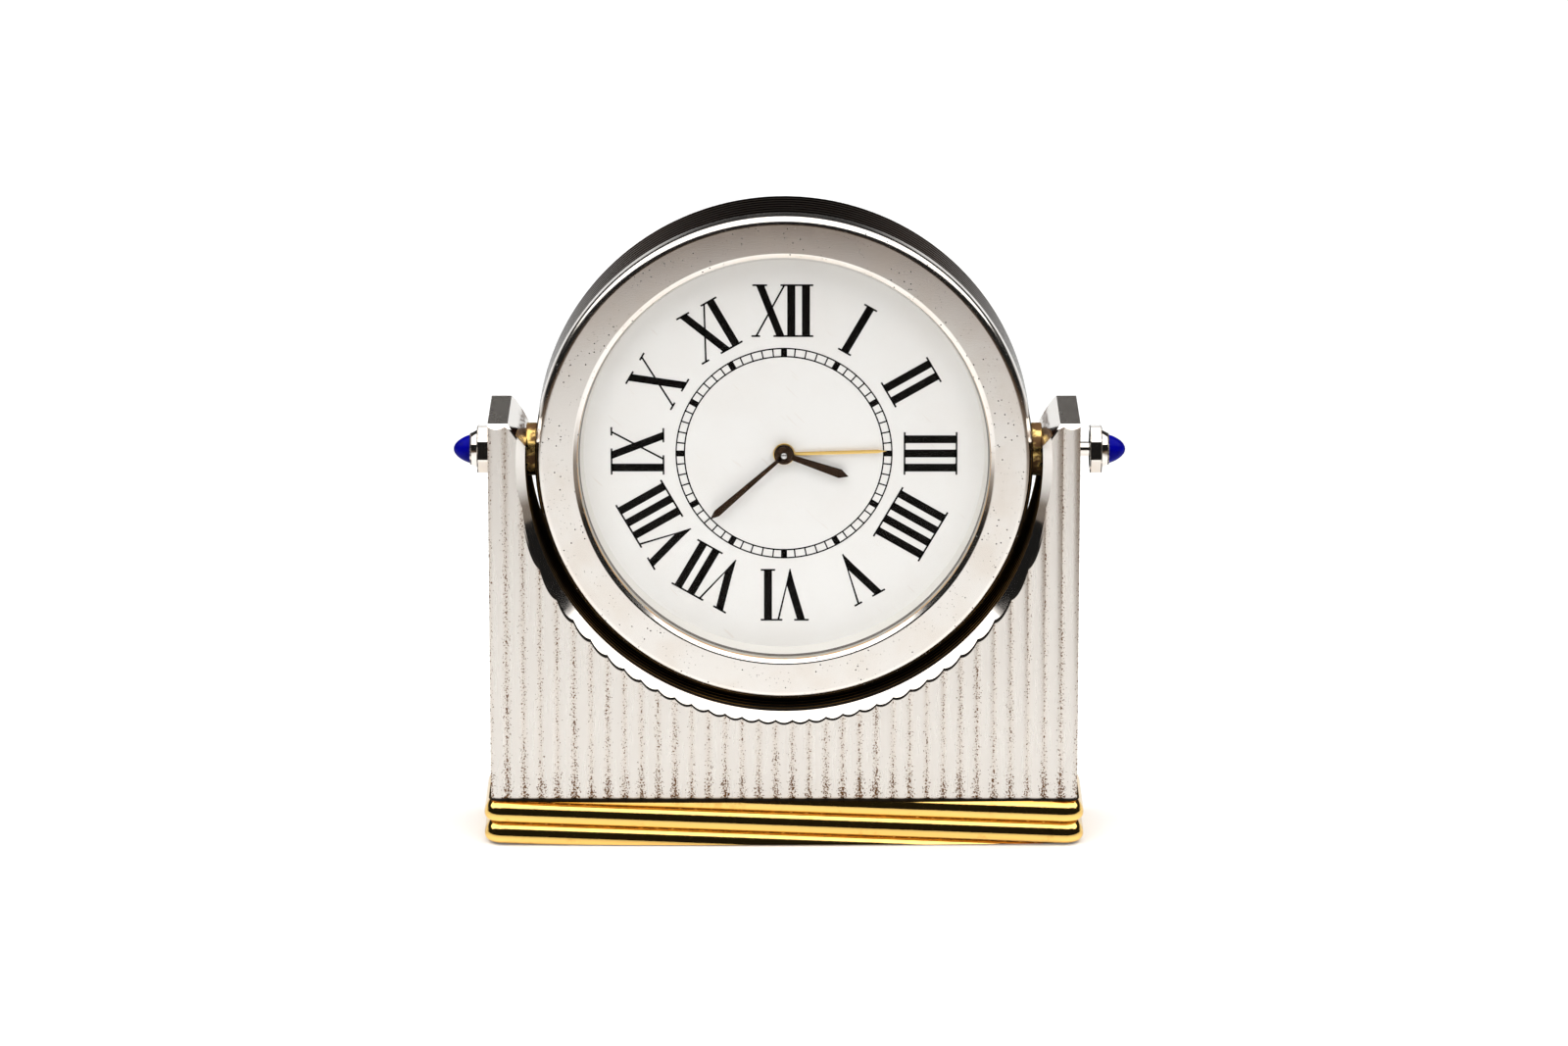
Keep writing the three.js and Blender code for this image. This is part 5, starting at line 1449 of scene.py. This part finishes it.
class CLOCK_OT_back(PieceOperator, bpy.types.Operator):
    """Model the back cover with its screws, setting knobs, slide and battery hatch"""

    bl_idname = "clock.back"
    bl_label = "Back"

    HOLE_STEPS = 24
    SCREW_STEPS = 32
    FLUTE_STEPS = 8
    # How far a cutter passes the surface that it cuts
    PAST = MM
    SCREW_EDGE = 0.15 * MM
    KNOB_EDGE = 0.3 * MM
    HATCH_EDGE = 0.25 * MM
    SLIDE_EDGE = 0.12 * MM
    NUB_EDGE = 0.25 * MM
    # The nub's half width and how far it stays inside the slide's plate
    NUB_HALF = 1.0 * MM
    NUB_INSET = 0.3 * MM
    # Half the size of the tongue that passes through the cover, and how far it stands out of it
    TONGUE = (0.8 * MM, 0.6 * MM)
    TONGUE_OUT = 0.2 * MM

    def cover(self, sizes):
        low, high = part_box("back_cover")
        front, back = low.y - self.PAST, high.y + self.PAST
        hatch_hole = radius_of("battery_hatch") + sizes.hatch_gap
        cutters = [
            disc(hatch_hole, front, back, axis_of("battery_hatch"), SMALL_STEPS),
            disc(sizes.stem_hole, front, back, axis_of("time_set_stem"), SMALL_STEPS),
            disc(sizes.stem_hole, front, back, axis_of("alarm_set_stem"), SMALL_STEPS),
        ]
        speaker = axis_of("buzzer")
        for hole in range(sizes.sound_count + 1):
            turn = hole / sizes.sound_count * FULL_TURN
            ring = sizes.sound_ring if hole < sizes.sound_count else 0
            at = speaker + Vector((math.cos(turn), 0, math.sin(turn))) * ring
            cutters.append(disc(sizes.sound_hole, front, back, at, self.HOLE_STEPS))
        slide = axis_of("alarm_slide")
        half = Vector((sizes.slide_run / 2, 0, sizes.slide_slot / 2))
        cutters.append(block(slide - half + BACKWARD * front, slide + half + BACKWARD * back))
        plate = disc(radius_of("back_cover"), low.y, high.y, PIVOT, DRUM_STEPS, back_edge=sizes.cover_edge)
        shape = carved(plate, *cutters)
        add_piece("back_plate", shape, "case", [back_silver, steel], ["back_cover"])

    def slot_cutter(self, node, half_length, width, depth):
        """A block that cuts a straight slot into the back of a round node."""
        at = axis_of(node)
        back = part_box(node)[1].y
        half = Vector((half_length, 0, width / 2))
        return block(at - half + BACKWARD * (back - depth), at + half + BACKWARD * (back + self.PAST))

    def screw(self, sizes, number):
        node = f"back_screw_{number}"
        radius = radius_of(node)
        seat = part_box("back_cover")[1].y
        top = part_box(node)[1].y
        head = disc(radius, seat, top, axis_of(node), self.SCREW_STEPS, back_edge=self.SCREW_EDGE)
        slot = self.slot_cutter(node, 2 * radius, sizes.screw_slot, sizes.screw_depth)
        add_piece(f"cover_screw_{number}", carved(head, slot), "case", [steel, steel], [node])

    def setting_knob(self, sizes, name):
        node = f"{name}_set_knob"
        low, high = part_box(node)
        at = axis_of(node)
        radius = radius_of(node)
        count = sizes.knob_flutes * self.FLUTE_STEPS
        outline = []
        for step in range(count):
            turn = step / count * FULL_TURN
            reach = radius - sizes.flute_depth * (1 - math.cos(turn * sizes.knob_flutes)) / 2
            outline.append((at.x + reach * math.cos(turn), low.y, at.z + reach * math.sin(turn)))
        shape = raised(outline, BACKWARD * (high.y - low.y))
        rounded_rims(shape, self.KNOB_EDGE, segments=4)
        add_piece(f"{name}_knob", shape, f"{name}_setter", [black_plastic], [node])

    def hatch(self, sizes):
        node = "battery_hatch"
        radius = radius_of(node)
        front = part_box("back_cover")[0].y
        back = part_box(node)[1].y
        plate = disc(radius, front, back, axis_of(node), SMALL_STEPS, back_edge=self.HATCH_EDGE)
        slot = self.slot_cutter(node, radius * sizes.coin_reach, sizes.coin_slot, sizes.coin_depth)
        add_piece("coin_hatch", carved(plate, slot), "hatch", [back_silver, steel], [node])

    def slide(self, sizes):
        low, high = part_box("alarm_slide")
        at = middle_of("alarm_slide")
        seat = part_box("back_cover")[1].y
        under = seat + sizes.slide_gap
        plate = block((low.x, under, low.z), (high.x, under + sizes.slide_plate, high.z))
        rounded_rims(plate, self.SLIDE_EDGE)
        nub = block(
            (at.x - self.NUB_HALF, seat + sizes.slide_plate, low.z + self.NUB_INSET),
            (at.x + self.NUB_HALF, high.y, high.z - self.NUB_INSET),
        )
        rounded_rims(nub, self.NUB_EDGE)
        half_width, half_height = self.TONGUE
        tongue = block(
            (at.x - half_width, low.y, at.z - half_height),
            (at.x + half_width, seat + self.TONGUE_OUT, at.z + half_height),
        )
        shape = joined(plate, nub, tongue)
        add_piece("slide_switch", shape, "alarm_switch", [black_plastic], ["alarm_slide"])

    def build(self, scene):
        sizes = scene.clock_case
        self.cover(sizes)
        for number in (1, 2, 3):
            self.screw(sizes, number)
        for name in ("time", "alarm"):
            self.setting_knob(sizes, name)
        self.hatch(sizes)
        self.slide(sizes)


class CLOCK_OT_works(PieceOperator, bpy.types.Operator):
    """Finish the pieces inside and underneath that keep their plain shapes"""

    bl_idname = "clock.works"
    bl_label = "Works"

    NODES = {
        felt: ["base_felt"],
        black_rubber: ["crystal_gasket"],
        white_plastic: ["movement_ring", "third_wheel", "motion_wheel", "alarm_wheel", "hour_wheel"],
        black_plastic: ["movement_plate", "movement_housing"],
        copper: ["coil"],
        board_green: ["circuit_board"],
        brass: ["minute_arbor", "buzzer", "time_set_stem", "alarm_set_stem"],
        steel: [
            "cradle_screw_left", "cradle_screw_right", "stator", "rotor", "battery",
            "battery_contact_plus", "battery_contact_minus",
        ],
    }

    def build(self, scene):
        for make, nodes in self.NODES.items():
            for node in nodes:
                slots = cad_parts[node].data.materials
                slots.clear()
                slots.append(finish(make))


# Stage


class CLOCK_OT_stage(PieceOperator, bpy.types.Operator):
    """Set the floor, the soft light and the camera"""

    bl_idname = "clock.stage"
    bl_label = "Stage"

    def floor(self, stage):
        """A white table top. What mirrors it sees it darken away from the clock."""
        shape = bmesh.new()
        bmesh.ops.create_grid(shape, x_segments=1, y_segments=1, size=stage.floor_reach)
        mesh = bpy.data.meshes.new("floor")
        shape.to_mesh(mesh)
        shape.free()
        sheet = Sheet(bpy.data.materials.new("floor_white"))
        point = sheet.point()
        forward = sheet.part(point, "Y") * -1
        ahead = forward.ease(stage.floor_near, stage.floor_far)
        aside = abs(sheet.part(point, "X") + stage.floor_shift).ease(stage.side_near, stage.side_far)
        aside = aside * forward.ease(stage.side_start, 3 * stage.side_start)
        seen = sheet.node("ShaderNodeLightPath", output="Is Camera Ray")
        mirrored = sheet.blend(aside, stage.floor_white, stage.floor_side)
        mirrored = sheet.blend(ahead, mirrored, stage.floor_dark)
        base = sheet.blend(seen, mirrored, stage.floor_white)
        mesh.materials.append(sheet.done(sheet.surface(
            Base_Color=base,
            Roughness=0.22,
            Specular_IOR_Level=0.25,
            Emission_Color=sheet.blend(seen, (0.0, 0.0, 0.0), stage.floor_glow),
            Emission_Strength=1.0,
        )))
        floor = bpy.data.objects.new("floor", mesh)
        bpy.context.scene.collection.objects.link(floor)

    def tent(self, scene, stage):
        """A white roof that narrows to the front, in a dim room."""
        scene.world = bpy.data.worlds.new("light_tent")
        sheet = Sheet(scene.world)
        way = sheet.node("ShaderNodeTexCoord", output="Generated")
        x, y, z = sheet.parts(way)
        front, back, side = (
            1 / math.tan(edge) for edge in (stage.roof_front, stage.roof_back, stage.roof_side)
        )
        across = abs(x) / z
        along = y / z
        inside = 1 - (across / side).ease(0.9, 1.1)
        inside = inside * (1 - ((across - along * stage.roof_taper) / stage.roof_reach).ease(0.95, 1.05))
        inside = inside * (1 - (abs(along + (front - back) / 2) * 2 / (front + back)).ease(0.9, 1.1))
        roof = stage.roof_light * inside * z.ease(0.0, 0.05)
        sweep_top = math.sin(stage.sweep_top)
        sweep = stage.sweep_light * y.ease(0.2, 0.6) * (1 - z.ease(sweep_top / 2, sweep_top))
        strength = stage.wall_light + stage.back_light * y.ease(0.0, 0.6) + sweep + roof
        light = sheet.node("ShaderNodeBackground", inputs={"Strength": strength})
        sheet.done(light, "ShaderNodeOutputWorld")

    def fills(self, scene, stage):
        """A soft light on each side of the camera, which the metal does not mirror."""
        for name, hand, strength in (("left", -1, stage.fill_left), ("right", 1, stage.fill_right)):
            lamp = bpy.data.lights.new("fill_" + name, "SUN")
            lamp.energy = strength
            lamp.angle = stage.fill_spread
            fill = bpy.data.objects.new("fill_" + name, lamp)
            fill.rotation_euler = (math.pi / 2 - stage.fill_height, 0, hand * stage.fill_side)
            fill.visible_glossy = False
            scene.collection.objects.link(fill)

    def camera(self, scene, stage):
        lens = bpy.data.cameras.new("camera")
        lens.sensor_width = SENSOR_WIDTH
        lens.lens = stage.focal_pixels / PHOTO_WIDTH * SENSOR_WIDTH
        camera = bpy.data.objects.new("camera", lens)
        back = stage.distance * math.cos(stage.elevation)
        camera.location = (0, -back, stage.aim_height + stage.distance * math.sin(stage.elevation))
        camera.rotation_euler = (math.pi / 2 - stage.elevation, 0, 0)
        scene.collection.objects.link(camera)
        scene.camera = camera

    def build(self, scene):
        stage = scene.clock_stage
        self.floor(stage)
        self.tent(scene, stage)
        self.fills(scene, stage)
        self.camera(scene, stage)
        scene.view_settings.view_transform = "Standard"


PIECES = [
    CLOCK_OT_stage,
    CLOCK_OT_plinth,
    CLOCK_OT_cradle,
    CLOCK_OT_pivots,
    CLOCK_OT_case,
    CLOCK_OT_crystal,
    CLOCK_OT_dial,
    CLOCK_OT_hands,
    CLOCK_OT_back,
    CLOCK_OT_works,
]

SETTINGS = {
    "clock_stand": ClockStandSizes,
    "clock_case": ClockCaseSizes,
    "clock_dial": ClockDialSizes,
    "clock_colours": ClockColours,
    "clock_stage": ClockStage,
}


class CLOCK_PT_panel(bpy.types.Panel):
    """Lists the clock's pieces and settings"""

    bl_idname = "CLOCK_PT_panel"
    bl_label = "Desk Clock"
    bl_space_type = "VIEW_3D"
    bl_region_type = "UI"
    bl_category = "Desk Clock"

    def draw(self, context):
        for piece in PIECES:
            self.layout.operator(piece.bl_idname)
        for name, group in SETTINGS.items():
            box = self.layout.box()
            for setting in group.__annotations__:
                box.prop(getattr(context.scene, name), setting)


def register():
    for group in SETTINGS.values():
        bpy.utils.register_class(group)
    for piece in PIECES:
        bpy.utils.register_class(piece)
    bpy.utils.register_class(CLOCK_PT_panel)
    for name, group in SETTINGS.items():
        setattr(bpy.types.Scene, name, PointerProperty(type=group))


def unregister():
    for name in SETTINGS:
        delattr(bpy.types.Scene, name)
    bpy.utils.unregister_class(CLOCK_PT_panel)
    for piece in reversed(PIECES):
        bpy.utils.unregister_class(piece)
    for group in reversed(SETTINGS.values()):
        bpy.utils.unregister_class(group)


def main():
    register()
    for piece in PIECES:
        category, name = piece.bl_idname.split(".")
        getattr(getattr(bpy.ops, category), name)()


if __name__ == "__main__":
    main()
